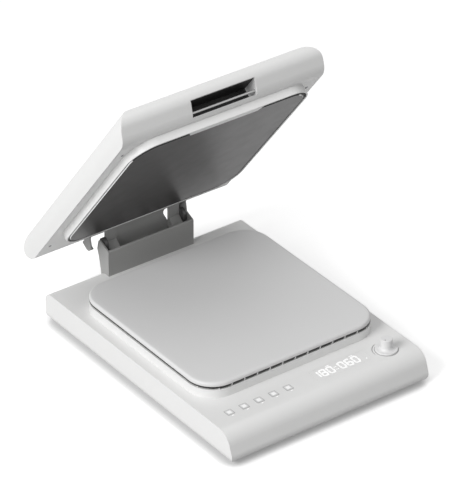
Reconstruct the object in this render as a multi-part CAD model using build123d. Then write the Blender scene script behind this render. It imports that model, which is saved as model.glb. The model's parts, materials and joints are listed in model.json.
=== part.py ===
"""Automatic heat press: flat base with a rising padded platen, and a sprung lid that carries the heat plate.

Frame: origin on the table under the centre of the base, +X to the right, +Y to the rear, +Z up.
Lid parts are drawn shut and then turned up about the hinge line, because the press rests open.
"""
from build123d import *
import os
from math import atan2, cos, degrees, pi, radians, sin, sqrt, tan

# Driving dimensions, millimetres and degrees

# Base housing
side_margin = 23
control_deck_depth = 114
rear_deck_depth = 74
base_top = 64
foot_height = 4
base_wall = 3
front_lean = 20
front_radius = 32
front_toe_radius = 16
rear_top_radius = 18
bottom_radius = 16
parting_height = 10

# Plinth round the platen
platen_width = 394
platen_depth = 398
platen_corner = 52
plinth_height = 18
plinth_wall = 4

# Rising platen
rest_gap = 3
skirt_clearance = 1
skirt_wall = 3
skirt_overlap = 4
carrier_thickness = 3
carrier_hub_length = 16
carrier_hub_wall = 8
carrier_rib_thickness = 2.4
carrier_rib_depth = 14
carrier_rib_reach = 150
carrier_rib_place = 95
platen_plate_thickness = 3
platen_plate_edge = 0.6
pad_thickness = 8
pad_edge_radius = 6
rest_rib_width = 1.8
rest_rib_pitch = 28
rest_rib_play = 0.3
lift_travel = 31

# Lift drive
screw_radius = 6
screw_length = 73
gear_module = 1.25
gear_teeth = 60
pinion_teeth = 15
gear_width = 10
gear_bottom = 44
pressure_angle = 20
gear_backlash = 0.3
bearing_height = 6
bearing_radius = 20
motor_radius = 18
motor_shaft_radius = 2.5
gear_bridge_width = 18
gear_bridge_thickness = 3
running_gap = 0.05
guide_post_radius = 5
guide_inset = 45
guide_bush_wall = 2
guide_boss_wall = 3
guide_boss_length = 59

# Hinge tower
tower_width = 194
tower_front_inset = 28.5
tower_wall = 3
tower_height = 53.5
tower_peak_reach = 3
tower_peak_rise = 13.5
tower_ear_reach = 8
tower_ear_drop = 23
tower_waist_drop = 38

# Hinge line and lid pose
hinge_inset = 10
hinge_rise = 33.3
hinge_pin_radius = 5
lid_open_angle = 52.2
lid_clearance = 47.3
lid_back_reach = 6.5

# Lid housing
lid_height = 57
lid_front_margin = 12
lid_front_rake = 45
lid_front_radius = 20
lid_toe_radius = 30
lid_side_radius = 42
lid_lip_depth = 18
lid_wall = 3
lid_panel_thickness = 2
lid_panel_play = 0.3

# Heat plate and its surround
bezel_rear_margin = 14
bezel_drop = 15.3
bezel_wall = 3
plate_gap = 4.4
plate_front_gap = 7.5
plate_seal_inset = 1.2
plate_seal_play = 0.1
plate_drop = 15
plate_thickness = 10
plate_edge = 1.5
ledge_width = 14
tab_width = 164
tab_reach = 13
tab_slope = 8
tab_gap = 0.4
element_thickness = 3
insulation_thickness = 6
insulation_margin = 28

# Handle recess in the lid's front
handle_width = 140
handle_bottom = 5
handle_height = 25
handle_depth = 34
handle_wall = 1.5
grip_bar_radius = 2.4

# Hinge arms on the lid
arm_inner_x = 60
arm_width = 23
arm_head_radius = 12
arm_front_offset = 9
arm_thickness = 5.5
arm_shoulder_rise = 23.7
arm_flange_thickness = 2
arm_flange_reach = 44
cross_panel_offset = 12.5
cross_panel_thickness = 3
cross_panel_foot = 7
cross_panel_top_x = 50
cross_panel_foot_x = 64
lug_play = 2
lug_width = 11
lug_wall = 3
lug_drop = 23
pin_end_play = 0.1

# Hinge brackets on the base
bracket_thickness = 7
bracket_play = 2
bracket_head_radius = 11
bracket_front_inset = 3
bracket_post_radius = 10
bracket_post_rise = 25.7

# Return springs round the hinge pin
spring_wire = 2
spring_play = 0.6
spring_turns = 6
spring_pitch = 3.2
spring_start_x = 22

# Control deck
deck_row_inset = 72
button_count = 5
button_side = 15
button_corner = 1.5
button_pitch = 32.3
button_first_inset = 43
button_play = 0.2
button_rise = 0.3
button_travel = 0.8
button_flange = 1
window_width = 122
window_depth = 32
window_inset = 150
window_thickness = 1.6
window_play = 0.1
board_side_margin = 28
board_depth = 52
board_thickness = 1.6
board_drop = 13
knob_inset_x = 52.4
knob_inset_y = 64
knob_skirt_radius = 21
knob_grip_radius = 11
knob_height = 24
knob_lift = 0.6
knob_skirt_height = 2.4
knob_flare = 6
encoder_shaft_radius = 3
dial_arc_radius = 26
dial_arc_width = 1.2
dial_arc_angle = 144
dial_arc_span = 80

# Rear panel
rear_panel_z = 33
inlet_inset = 90
inlet_width = 28
inlet_height = 21
inlet_depth = 24
switch_inset = 138
switch_width = 21
switch_height = 21
rocker_radius = 8
rocker_width = 13
rocker_play = 0.3
rocker_throw = 20
vent_count = 8
vent_width = 4
vent_height = 16
vent_pitch = 9
vent_x = -70
power_board_inset = 38

# Feet
foot_radius = 12
foot_inset_x = 34
foot_inset_y = 40
foot_socket_depth = 1.5

# Places that follow from the sizes above
skirt_length = rest_gap + lift_travel + skirt_overlap
base_width = platen_width + 2 * side_margin
base_depth = control_deck_depth + platen_depth + rear_deck_depth
base_back = base_depth / 2
base_front = -base_depth / 2
platen_y = base_back - rear_deck_depth - platen_depth / 2
tower_front_y = base_back - tower_front_inset
tower_peak_y = base_back + tower_peak_reach
tower_ear_y = base_back + tower_ear_reach
hinge_y = base_back - hinge_inset
hinge_z = base_top + hinge_rise
lid_underside = hinge_z + lid_clearance
lid_back_y = hinge_y + lid_back_reach
bezel_width = platen_width
bezel_corner = platen_corner
bezel_depth = platen_depth + bezel_rear_margin
bezel_y = platen_y + bezel_rear_margin / 2
arm_front_y = hinge_y + arm_front_offset
arm_shoulder_z = hinge_z + arm_shoulder_rise
cross_panel_y = hinge_y + cross_panel_offset
bracket_front_y = hinge_y - bracket_front_inset
bracket_post_z = hinge_z + bracket_post_rise
pin_reach = tower_width / 2 - tower_wall / 2
lug_x = tower_width / 2 + lug_play
deck_row_y = base_front + deck_row_inset
button_first_x = -base_width / 2 + button_first_inset
window_x = base_width / 2 - window_inset
board_width = base_width - 2 * board_side_margin
knob_x = base_width / 2 - knob_inset_x
knob_y = base_front + knob_inset_y
inlet_x = base_width / 2 - inlet_inset
switch_x = base_width / 2 - switch_inset
plinth_top = base_top + plinth_height
carrier_bottom = plinth_top + rest_gap
pad_bottom = carrier_bottom + platen_plate_thickness
pad_top = pad_bottom + pad_thickness
opening_width = platen_width - 2 * plinth_wall
opening_depth = platen_depth - 2 * plinth_wall
skirt_width = opening_width - 2 * skirt_clearance
skirt_depth = opening_depth - 2 * skirt_clearance
floor_top = foot_height + base_wall
deck_bottom = base_top - base_wall
board_top = base_top - board_drop + board_thickness
gear_radius = gear_module * gear_teeth / 2
pinion_radius = gear_module * pinion_teeth / 2
gear_top = gear_bottom + gear_width
bearing_bottom = gear_bottom - bearing_height
pinion_x = gear_radius + pinion_radius
lid_front_y = bezel_y - bezel_depth / 2 - lid_front_margin
lid_lip_y = lid_front_y + lid_lip_depth
lid_top = lid_underside + lid_height
lid_back_radius = lid_height / 2
bezel_inner_width = bezel_width - 2 * bezel_wall
bezel_inner_depth = bezel_depth - 2 * bezel_wall
plate_width = bezel_inner_width - 2 * plate_gap
plate_depth = bezel_inner_depth - plate_gap - plate_front_gap
plate_y = bezel_y + (plate_front_gap - plate_gap) / 2
plate_bottom = lid_underside - plate_drop
plate_top = plate_bottom + plate_thickness
element_top = plate_top + element_thickness
bracket_x = arm_inner_x + arm_width + bracket_play
spring_radius = hinge_pin_radius + spring_play + spring_wire / 2


# Shape helpers

def block(x0, x1, y0, y1, z0, z1):
    """A box between the given limits."""
    middle = Pos((x0 + x1) / 2, (y0 + y1) / 2, (z0 + z1) / 2)
    return middle * Box(abs(x1 - x0), abs(y1 - y0), abs(z1 - z0))


def post(x, y, z0, z1, radius):
    """An upright round post."""
    return Pos(x, y, (z0 + z1) / 2) * Cylinder(radius, z1 - z0)


def bar_x(x0, x1, y, z, radius):
    """A round bar along X."""
    return Pos((x0 + x1) / 2, y, z) * Rot(0, 90, 0) * Cylinder(radius, x1 - x0)


def bar_y(x, y0, y1, z, radius):
    """A round bar along Y."""
    return Pos(x, (y0 + y1) / 2, z) * Rot(90, 0, 0) * Cylinder(radius, y1 - y0)


def rounded_slab(width, depth, corner, z0, z1, x=0, y=0):
    """A flat slab with rounded corners in plan."""
    return extrude(Pos(x, y, z0) * RectangleRounded(width, depth, corner), z1 - z0)


def side_extrude(points, x0, x1):
    """A prism along X from a closed outline given as (y, z) points."""
    face = make_face(Polyline([(y, z) for y, z in points], close=True))
    return Pos(x0, 0, 0) * extrude(Plane.YZ * face, x1 - x0)


def corner_at(face, y, z):
    """The corner of a flat outline nearest to a place."""
    return face.vertices().sort_by(lambda v: (v.X - y) ** 2 + (v.Y - z) ** 2)[0]


def rounded_outline(corners):
    """A flat outline from (y, z, radius) corners, each rounded by its radius."""
    face = make_face(Polyline([(y, z) for y, z, _ in corners], close=True))
    for y, z, radius in corners:
        if radius > 0:
            face = fillet(corner_at(face, y, z), radius)
    return face


def opened(shape):
    """Turn a lid part, drawn shut, up about the hinge line."""
    return shape.rotate(Axis((0, hinge_y, hinge_z), (1, 0, 0)), -lid_open_angle)


# Base housing

def base_form(inset):
    """The base's outer form, or its inside when inset by the wall."""
    low, high = foot_height + inset, base_top - inset
    front, back = base_front + inset, base_back - inset
    side = rounded_outline([
        (front, low, max(front_toe_radius - inset, 1)),
        (back, low, bottom_radius - inset),
        (back, high, rear_top_radius - inset),
        (front + front_lean, high, front_radius - inset),
    ])
    half = base_width / 2 - inset
    form = Pos(-half, 0, 0) * extrude(Plane.YZ * side, 2 * half)
    radius = bottom_radius - inset
    for sign in (-1, 1):
        x0, x1 = sorted((sign * (half - radius), sign * (half + 5)))
        corner = block(x0, x1, -base_depth, base_depth, low - 5, low + radius)
        corner -= bar_y(sign * (half - radius), -base_depth - 1, base_depth + 1, low + radius, radius)
        form -= corner
    return form


def plan_ring(width, depth, corner, wall, z0, z1, y):
    """A rounded wall that stands round a rectangle."""
    outer = rounded_slab(width, depth, corner, z0, z1, y=y)
    inner = rounded_slab(width - 2 * wall, depth - 2 * wall, corner - wall, z0 - 1, z1 + 1, y=y)
    return outer - inner


def button_x(index):
    return button_first_x + index * button_pitch


def guide_places():
    """The four guide posts, inset from the platen's corners."""
    dx = platen_width / 2 - guide_inset
    dy = platen_depth / 2 - guide_inset
    return [(sx * dx, platen_y + sy * dy) for sx in (-1, 1) for sy in (-1, 1)]


def closing_screw_places():
    """Bosses that join the two base shells, outside the platen's opening."""
    dx = base_width / 2 - base_wall - 11
    return [(sx * dx, y) for sx in (-1, 1) for y in (-210, 20, 250)]


def rear_cut(x, width, height):
    """A cut through the rear wall."""
    half = height / 2
    return block(x - width / 2, x + width / 2, base_back - 2 * base_wall, base_back + 5,
                 rear_panel_z - half, rear_panel_z + half)


def dial_arc():
    """The shallow arc beside the knob."""
    outer, inner = dial_arc_radius + dial_arc_width / 2, dial_arc_radius - dial_arc_width / 2
    ring = Pos(knob_x, knob_y, base_top - 0.5) * (Cylinder(outer, 2) - Cylinder(inner, 2))
    reach = 2 * dial_arc_radius
    first, last = dial_arc_angle - dial_arc_span / 2, dial_arc_angle + dial_arc_span / 2
    ends = [(reach * cos(radians(a)), reach * sin(radians(a))) for a in (first, last)]
    wedge = make_face(Polyline([(0, 0), *ends], close=True))
    return ring & extrude(Pos(knob_x, knob_y, base_top - 0.6) * wedge, 5)


def make_base_cover():
    shell = base_form(0) - base_form(base_wall)
    cover = shell & block(-base_width, base_width, -base_depth, base_depth, parting_height, base_top + 1)
    cover -= rounded_slab(opening_width, opening_depth, platen_corner - plinth_wall,
                          deck_bottom - 5, base_top + 5, y=platen_y)
    cover += plan_ring(platen_width, platen_depth, platen_corner, plinth_wall,
                       deck_bottom, plinth_top, platen_y)
    for rib in rest_ribs():
        cover += rib
    side = button_side + 2 * button_play
    for index in range(button_count):
        cover -= rounded_slab(side, side, button_corner, deck_bottom - 1, base_top + 1,
                              x=button_x(index), y=deck_row_y)
    cover -= rounded_slab(window_width, window_depth, 2, base_top - window_thickness - window_play,
                          base_top + 1, x=window_x, y=deck_row_y)
    cover -= rounded_slab(window_width - 6, window_depth - 6, 2, deck_bottom - 1, base_top + 1,
                          x=window_x, y=deck_row_y)
    cover -= post(knob_x, knob_y, deck_bottom - 1, base_top + 1, encoder_shaft_radius + 2.5)
    cover -= dial_arc()
    for x, y in closing_screw_places():
        cover += post(x, y, floor_top + 6, deck_bottom + 1, 4)
        cover -= post(x, y, floor_top + 5, floor_top + 20, 1.4)
    for x, y in board_screw_places():
        cover += post(x, y, board_top, deck_bottom + 1, 3)
    cover -= rear_cut(inlet_x, inlet_width - 4, inlet_height - 4)
    cover -= rear_cut(switch_x, switch_width - 4, switch_height - 4)
    for index in range(vent_count):
        x = vent_x + (index - (vent_count - 1) / 2) * vent_pitch
        cover -= rear_cut(x, vent_width, vent_height)
    return cover


def foot_places():
    dx = base_width / 2 - foot_inset_x
    dy = base_depth / 2 - foot_inset_y
    return {
        "front_left": (-dx, -dy),
        "front_right": (dx, -dy),
        "rear_left": (-dx, dy),
        "rear_right": (dx, dy),
    }


def make_base_pan():
    shell = base_form(0) - base_form(base_wall)
    pan = shell & block(-base_width, base_width, -base_depth, base_depth, 0, parting_height)
    for x, y in foot_places().values():
        pan += post(x, y, floor_top - 0.5, floor_top + 2, foot_radius + 3)
        pan -= post(x, y, 0, foot_height + foot_socket_depth, foot_radius)
    for x, y in closing_screw_places():
        pan += post(x, y, floor_top - 0.5, floor_top + 6, 4)
        pan -= post(x, y, foot_height - 1, floor_top + 7, 1.6)
        pan -= post(x, y, foot_height - 1, floor_top - 0.5, 3)
    for x, y in guide_places():
        pan += post(x, y, floor_top - 0.5, floor_top + 12, guide_post_radius + 4)
        pan -= post(x, y, floor_top + 2, floor_top + 13, guide_post_radius)
    pan += post(0, platen_y, floor_top - 0.5, bearing_bottom, bearing_radius)
    pan -= post(0, platen_y, floor_top + 1, bearing_bottom + 1, screw_radius + 2)
    ring = post(pinion_x, platen_y, floor_top - 0.5, floor_top + 8, motor_radius + 2.5)
    pan += ring - post(pinion_x, platen_y, floor_top - 1, floor_top + 9, motor_radius)
    for sign in (-1, 1):
        x = sign * (opening_width / 2 - 60)
        pan += block(x - 1, x + 1, platen_y - 150, platen_y + 150, floor_top - 0.5, floor_top + 6)
    for x, y in power_board_places():
        pan += post(x, y, floor_top - 0.5, floor_top + 6, 3.5)
    for index in range(vent_count):
        x = -150 + (index - (vent_count - 1) / 2) * vent_pitch
        pan -= block(x - vent_width / 2, x + vent_width / 2, platen_y - 30, platen_y + 30, 0, floor_top + 1)
    return pan


def make_foot(x, y):
    foot = post(x, y, 0, foot_height + foot_socket_depth, foot_radius)
    return chamfer(foot.edges().group_by(Axis.Z)[0], 1)


# Rising platen

def rest_ribs():
    """Short ribs on the plinth's rim, along the front and the rear and round the corners."""
    low, high = plinth_top - 0.5, carrier_bottom - rest_rib_play
    inner, outer = opening_depth / 2 + 0.4, platen_depth / 2 - 0.6
    half = rest_rib_width / 2
    ribs = []
    count = int((platen_width - 2 * platen_corner) / rest_rib_pitch)
    for index in range(count + 1):
        x = (index - count / 2) * rest_rib_pitch
        ribs.append(block(x - half, x + half, platen_y + inner, platen_y + outer, low, high))
        ribs.append(block(x - half, x + half, platen_y - outer, platen_y - inner, low, high))
    reach = platen_corner - 0.6
    start = platen_corner - plinth_wall + 0.4
    for sign_x in (-1, 1):
        for sign_y in (-1, 1):
            centre = Pos(sign_x * (platen_width / 2 - platen_corner),
                         platen_y + sign_y * (platen_depth / 2 - platen_corner), 0)
            for angle in (22.5, 67.5):
                turn = degrees(atan2(sign_y * sin(radians(angle)), sign_x * cos(radians(angle))))
                ribs.append(centre * Rot(0, 0, turn) * block(start, reach, -half, half, low, high))
    return ribs


def make_platen_carrier():
    corner = platen_corner - plinth_wall - skirt_clearance
    carrier = rounded_slab(skirt_width, skirt_depth, corner, carrier_bottom - carrier_thickness,
                           carrier_bottom, y=platen_y)
    carrier += plan_ring(skirt_width, skirt_depth, corner, skirt_wall,
                         carrier_bottom - skirt_length, carrier_bottom - 1, platen_y)
    for x, y in guide_places():
        bore = guide_post_radius + running_gap + guide_bush_wall
        foot = carrier_bottom - guide_boss_length
        carrier += post(x, y, foot, carrier_bottom - 1, bore + guide_boss_wall)
        carrier -= post(x, y, foot - 1, carrier_bottom - 1, bore)
    hub_foot = carrier_bottom - carrier_hub_length
    carrier += post(0, platen_y, hub_foot, carrier_bottom - 1, screw_radius + carrier_hub_wall)
    carrier -= post(0, platen_y, hub_foot - 1, carrier_bottom - 1, screw_radius)
    rib_low, rib_high = carrier_bottom - carrier_rib_depth, carrier_bottom - 1
    half, reach = carrier_rib_thickness / 2, carrier_rib_reach
    for x in (-carrier_rib_place, carrier_rib_place):
        carrier += block(x - half, x + half, platen_y - reach, platen_y + reach, rib_low, rib_high)
    for y in (platen_y - carrier_rib_place, platen_y + carrier_rib_place):
        carrier += block(-reach, reach, y - half, y + half, rib_low, rib_high)
    return carrier


def make_platen_plate():
    plate = rounded_slab(platen_width, platen_depth, platen_corner, carrier_bottom, pad_bottom, y=platen_y)
    return chamfer(plate.edges().group_by(Axis.Z)[0], platen_plate_edge)


def make_pressing_pad():
    pad = rounded_slab(platen_width, platen_depth, platen_corner, pad_bottom, pad_top, y=platen_y)
    return fillet(pad.edges().group_by(Axis.Z)[-1], pad_edge_radius)


def make_guide_post(x, y):
    pin = post(x, y, floor_top + 2, carrier_bottom - 2, guide_post_radius)
    return chamfer(pin.edges().group_by(Axis.Z)[-1], 1)


def make_guide_bush(x, y):
    outer = guide_post_radius + running_gap + guide_bush_wall
    bottom = carrier_bottom - guide_boss_length
    return post(x, y, bottom, bottom + 20, outer) - post(x, y, bottom - 1, bottom + 21,
                                                         guide_post_radius + running_gap)


# Lift drive

def involute(base_radius, radius):
    """Polar angle of an involute at a radius."""
    roll = sqrt(max((radius / base_radius) ** 2 - 1, 0))
    return roll - atan2(roll, 1)


def gear_outline(teeth, phase):
    """A spur gear's outline with involute flanks, turned by a phase in degrees."""
    pitch = gear_module * teeth / 2
    base = pitch * cos(radians(pressure_angle))
    tip = pitch + gear_module
    root = pitch - 1.25 * gear_module
    half_tooth = pi / (2 * teeth) - gear_backlash / (4 * pitch)
    at_pitch = involute(base, pitch)
    start = max(base, root)
    radii = [start + (tip - start) * step / 3 for step in range(4)]
    points = []
    for tooth in range(teeth):
        middle = 2 * pi * tooth / teeth + radians(phase)
        flank = [(r, half_tooth + at_pitch - involute(base, r)) for r in radii]
        foot = flank[0][1]
        left = [(root, foot)] * (start > root) + flank
        for r, angle in left:
            points.append((r * cos(middle - angle), r * sin(middle - angle)))
        for r, angle in reversed(left):
            points.append((r * cos(middle + angle), r * sin(middle + angle)))
    return make_face(Polyline(points, close=True))


def make_lift_gear():
    gear = extrude(Pos(0, platen_y, gear_bottom) * gear_outline(gear_teeth, 0), gear_width)
    web = gear_radius - 3 * gear_module - 2
    hub = screw_radius + 8
    for z in (gear_bottom - 1, gear_top - 2.5):
        recess = Pos(0, platen_y, z + 1.75) * (Cylinder(web, 3.5) - Cylinder(hub, 3.5))
        gear -= recess
    gear -= post(0, platen_y, gear_bottom - 1, gear_top + 1, screw_radius + running_gap)
    return gear


def make_lift_bearing():
    inner = screw_radius + 3
    ring = post(0, platen_y, bearing_bottom, gear_bottom, bearing_radius)
    return ring - post(0, platen_y, bearing_bottom - 1, gear_bottom + 1, inner)


def make_lift_screw():
    screw = post(0, platen_y, carrier_bottom - 1 - screw_length, carrier_bottom - 1, screw_radius)
    return chamfer(screw.edges().group_by(Axis.Z)[0], 1)


def make_motor_pinion():
    phase = 180 + 180 / pinion_teeth
    pinion = extrude(Pos(pinion_x, platen_y, gear_bottom) * gear_outline(pinion_teeth, phase), gear_width)
    return pinion - post(pinion_x, platen_y, gear_bottom - 1, gear_top + 1, motor_shaft_radius)


def make_motor_shaft():
    return post(pinion_x, platen_y, bearing_bottom - 6, gear_top + 0.5, motor_shaft_radius)


def make_lift_motor():
    top = bearing_bottom + 3
    motor = post(pinion_x, platen_y, floor_top, top, motor_radius)
    motor = chamfer(motor.edges().group_by(Axis.Z)[-1], 1.5)
    return motor - post(pinion_x, platen_y, bearing_bottom - 7, top + 1, motor_shaft_radius + running_gap)


def make_gear_bridge():
    """The strap over the gear that keeps it on its bearing."""
    reach = gear_radius + gear_module + 4
    low = gear_top + 0.5
    leg = gear_bridge_thickness
    half = gear_bridge_width / 2
    strap = block(-half, half, platen_y - reach - leg, platen_y + reach + leg, low, low + leg)
    for sign in (-1, 1):
        y0, y1 = sorted((platen_y + sign * reach, platen_y + sign * (reach + leg)))
        strap += block(-half, half, y0, y1, floor_top, low + 1)
        y0, y1 = sorted((platen_y + sign * reach, platen_y + sign * (reach + 14)))
        strap += block(-half, half, y0, y1, floor_top, floor_top + leg)
    return strap - post(0, platen_y, low - 1, low + leg + 1, screw_radius + 2)


# Hinge tower on the base

def make_hinge_tower():
    top = base_top + tower_height
    peak = top + tower_peak_rise
    foot_y = base_back - base_wall
    outline = rounded_outline([
        (tower_front_y, base_top - 30, 0),
        (tower_front_y, top, 3),
        (tower_peak_y, peak, 5),
        (tower_ear_y, peak - tower_ear_drop, 4),
        (tower_peak_y, peak - tower_waist_drop, 4),
        (foot_y, base_top - 2, 0),
        (foot_y, base_top - 30, 0),
    ])
    half = tower_width / 2
    tower = Pos(-half, 0, 0) * extrude(Plane.YZ * outline, tower_width)
    tower -= block(-half + tower_wall, half - tower_wall, tower_front_y + tower_wall,
                   base_back + 40, base_top - 40, peak + 10)
    for sign in (-1, 1):
        for z in (base_top + 8, base_top + 30):
            x0, x1 = sorted((sign * (half - tower_wall - 2), sign * (half - 1)))
            tower += block(x0, x1, tower_front_y + 1, tower_front_y + 12, z, z + 2)
    tower -= bar_x(-pin_reach, pin_reach, hinge_y, hinge_z, hinge_pin_radius)
    return tower - base_form(0)


def make_hinge_bracket(side):
    """An upright plate that holds the pin and rises to a rounded stop beside the lid's arm."""
    x0, x1 = sorted((side * bracket_x, side * (bracket_x + bracket_thickness)))
    foot_y = tower_front_y + tower_wall + 0.5
    back_y = bracket_front_y + 2 * bracket_post_radius
    plate = side_extrude([
        (foot_y, base_top - 30),
        (foot_y, base_top + 12),
        (bracket_front_y, base_top + 34),
        (bracket_front_y, bracket_post_z),
        (back_y, bracket_post_z),
        (back_y, hinge_z - 6),
        (base_back - 1, base_top - 6),
        (base_back - 1, base_top - 30),
    ], x0, x1)
    plate += bar_x(x0, x1, bracket_front_y + bracket_post_radius, bracket_post_z, bracket_post_radius)
    plate += bar_x(x0, x1, hinge_y, hinge_z, bracket_head_radius)
    f0, f1 = sorted((side * (bracket_x - 12), side * (bracket_x + 1)))
    plate += block(f0, f1, foot_y, foot_y + 7, base_top - 1, base_top + 3)
    plate -= bar_x(x0 - 1, x1 + 1, hinge_y, hinge_z, hinge_pin_radius)
    return plate - base_form(0)


def make_hinge_pin():
    """The pin, seated in blind bores of the tower's cheeks."""
    end = pin_reach - pin_end_play
    return bar_x(-end, end, hinge_y, hinge_z, hinge_pin_radius)


def make_return_spring(side):
    """Wire coiled round the pin, with one leg to the tower's wall and one up to the lid's bridge."""
    start = spring_start_x if side > 0 else -spring_start_x - spring_turns * spring_pitch
    length = spring_turns * spring_pitch
    coil = Pos(start, hinge_y, hinge_z) * Rot(0, 90, 0) * Helix(spring_pitch, length, spring_radius)
    wire = spring_wire / 2
    section = Plane(origin=coil @ 0, z_dir=coil % 0) * Circle(wire)
    return sweep(section, path=coil)


# Lid

def lid_form(inset):
    """The lid's outer form, drawn shut, or its inside, inset by the wall, which leaves a front lip."""
    high = lid_top - inset
    low = lid_underside + (0 if inset == 0 else -5)
    slope = lid_front_rake / lid_height
    shift = inset * sqrt(1 + slope ** 2)
    radius = lid_back_radius - inset
    middle = lid_underside + lid_back_radius
    corners = [(lid_back_y, low, 0)]
    if inset:
        corners += [(lid_lip_y, low, 0), (lid_lip_y, lid_underside + inset, 0)]
    corners += [
        (lid_front_y - slope * inset + shift, lid_underside + inset, lid_toe_radius - inset),
        (lid_front_y - slope * (lid_height - inset) + shift, high, lid_front_radius - inset),
        (lid_back_y, high, 0),
    ]
    body = rounded_outline(corners)
    half = lid_height * 2
    across_half = base_width / 2 - inset
    across = rounded_outline([
        (-across_half, low, 0),
        (across_half, low, 0),
        (across_half, high, lid_side_radius - inset),
        (-across_half, high, lid_side_radius - inset),
    ])
    along_x = Pos(-across_half, 0, 0) * extrude(Plane.YZ * body, 2 * across_half)
    along_x += bar_x(-across_half, across_half, lid_back_y, middle, radius)
    if inset:
        along_x += block(-across_half, across_half, lid_back_y - half, lid_back_y, low, middle)
    along_y = extrude(Plane.XZ * across, base_depth, both=True)
    return along_x & along_y


def lid_screw_places():
    return [(sx * (base_width / 2 - 18), y) for sx in (-1, 1)
            for y in (lid_back_y - 40, lid_front_y + 50.5)]


def handle_opening(grow):
    """The hand recess's space, grown by a wall; it runs out through the lid's front."""
    low = lid_underside + handle_bottom - grow
    high = lid_underside + handle_bottom + handle_height + grow
    back = lid_front_y + handle_depth - 10 + grow
    half = handle_width / 2 + grow
    space = block(-half, half, lid_front_y - 60, back, low, high)
    return fillet(space.edges().filter_by(Axis.Z).group_by(Axis.Y)[-1], 6 + grow)


def make_lid_cover():
    cover = lid_form(0) - lid_form(lid_wall)
    cover = cover & block(-base_width, base_width, -base_depth, base_depth, lid_underside, lid_top + 1)
    cover -= handle_opening(0)
    cover -= block(-handle_width / 2, handle_width / 2, lid_front_y, lid_front_y + handle_depth,
                   lid_underside + handle_bottom, lid_underside + handle_bottom + handle_height)
    for x, y in lid_screw_places():
        cover += post(x, y, lid_underside + lid_panel_thickness, lid_top, 4) & lid_form(0)
        cover -= post(x, y, lid_underside, lid_underside + 16, 1.4)
    for sign in (-1, 1):
        for y in (lid_back_y - 140, lid_back_y - 240, lid_back_y - 340):
            x0, x1 = sorted((sign * 60, sign * (base_width / 2 - lid_side_radius)))
            cover += block(x0, x1, y - 1, y + 1, lid_top - lid_wall - 8, lid_top - lid_wall + 0.5)
    return opened(cover)


def tab_outline(grow):
    """The tongue at the surround's front edge, in plan."""
    front = bezel_y - bezel_inner_depth / 2
    reach = front + tab_reach + grow
    half = tab_width / 2 + grow
    return make_face(Polyline([
        (-half - tab_slope, front - 2),
        (-half, front + 0.01),
        (-half + tab_slope, reach),
        (half - tab_slope, reach),
        (half, front + 0.01),
        (half + tab_slope, front - 2),
    ], close=True))


def make_lid_frame():
    """The lid's underside: a panel with the surround of the heat plate standing out of it."""
    play = lid_wall + lid_panel_play
    width = base_width - 2 * play
    front = lid_lip_y + lid_panel_play
    back = lid_back_y - 1
    panel = block(-width / 2, width / 2, front, back, lid_underside, lid_underside + lid_panel_thickness)
    low = lid_underside - bezel_drop
    surround = plan_ring(bezel_width, bezel_depth, bezel_corner, bezel_wall, low, lid_underside, bezel_y)
    ledge = plan_ring(bezel_width - 1, bezel_depth - 1, bezel_corner - 0.5, bezel_wall + ledge_width,
                      plate_top, lid_underside + lid_panel_thickness, bezel_y)
    inner = rounded_slab(bezel_inner_width - 2 * ledge_width, bezel_inner_depth - 2 * ledge_width,
                         bezel_corner - bezel_wall - ledge_width, low, lid_top, y=bezel_y)
    frame = panel + surround + ledge
    frame += extrude(Pos(0, 0, low) * tab_outline(0), plate_top + 0.5 - low)
    frame -= inner
    frame -= block(-base_width, base_width, lid_front_y - 50, front, lid_underside, lid_top)
    for x, y in lid_screw_places():
        frame -= post(x, y, lid_underside - 1, lid_underside + lid_panel_thickness + 1, 1.6)
    return opened(frame)


def plate_outline(grow):
    """The heat plate's outline in plan."""
    corner = bezel_corner - bezel_wall - plate_gap
    return RectangleRounded(plate_width + 2 * grow, plate_depth + 2 * grow, corner + grow)


def make_heat_plate():
    plate = extrude(Pos(0, plate_y, plate_bottom) * plate_outline(0), plate_thickness)
    plate = chamfer(plate.edges().group_by(Axis.Z)[0], plate_edge)
    plate -= extrude(Pos(0, 0, plate_bottom - 1) * tab_outline(tab_gap), plate_thickness + 2)
    for x in (-60, 60):
        plate -= post(x, bezel_y, plate_top - 3, plate_top + 1, 4.5)
    return opened(plate)


def make_plate_seal():
    """The black heat-proof ring in the gap between the surround and the plate."""
    play = plate_seal_play
    low = lid_underside - bezel_drop + plate_seal_inset
    seal = rounded_slab(bezel_inner_width - 2 * play, bezel_inner_depth - 2 * play,
                        bezel_corner - bezel_wall - play, low, plate_top, y=bezel_y)
    seal -= extrude(Pos(0, plate_y, low - 1) * plate_outline(play), plate_thickness + 4)
    seal -= extrude(Pos(0, 0, low - 1) * tab_outline(tab_gap), plate_thickness + 4)
    return opened(seal)


def heater_opening(margin):
    inset = ledge_width + margin
    return (bezel_inner_width - 2 * inset, bezel_inner_depth - 2 * inset,
            bezel_corner - bezel_wall - inset)


def make_heating_element():
    """A flat element bonded to the plate, with its folded track left standing."""
    width, depth, corner = heater_opening(4)
    sheet = rounded_slab(width, depth, corner, plate_top, plate_top + 1.2, y=bezel_y)
    strips = 9
    pitch = (width - 60) / strips
    for index in range(strips + 1):
        x = -width / 2 + 30 + index * pitch
        sheet += block(x - 5, x + 5, bezel_y - depth / 2 + 30, bezel_y + depth / 2 - 30,
                       plate_top + 1, element_top)
    for index in range(strips):
        x = -width / 2 + 30 + index * pitch
        end = bezel_y + (depth / 2 - 35) * (1 if index % 2 else -1)
        sheet += block(x, x + pitch, end - 5, end + 5, plate_top + 1, element_top)
    for x in (-60, 60):
        sheet -= post(x, bezel_y, plate_top - 1, element_top + 1, 10)
    return opened(sheet)


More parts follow.
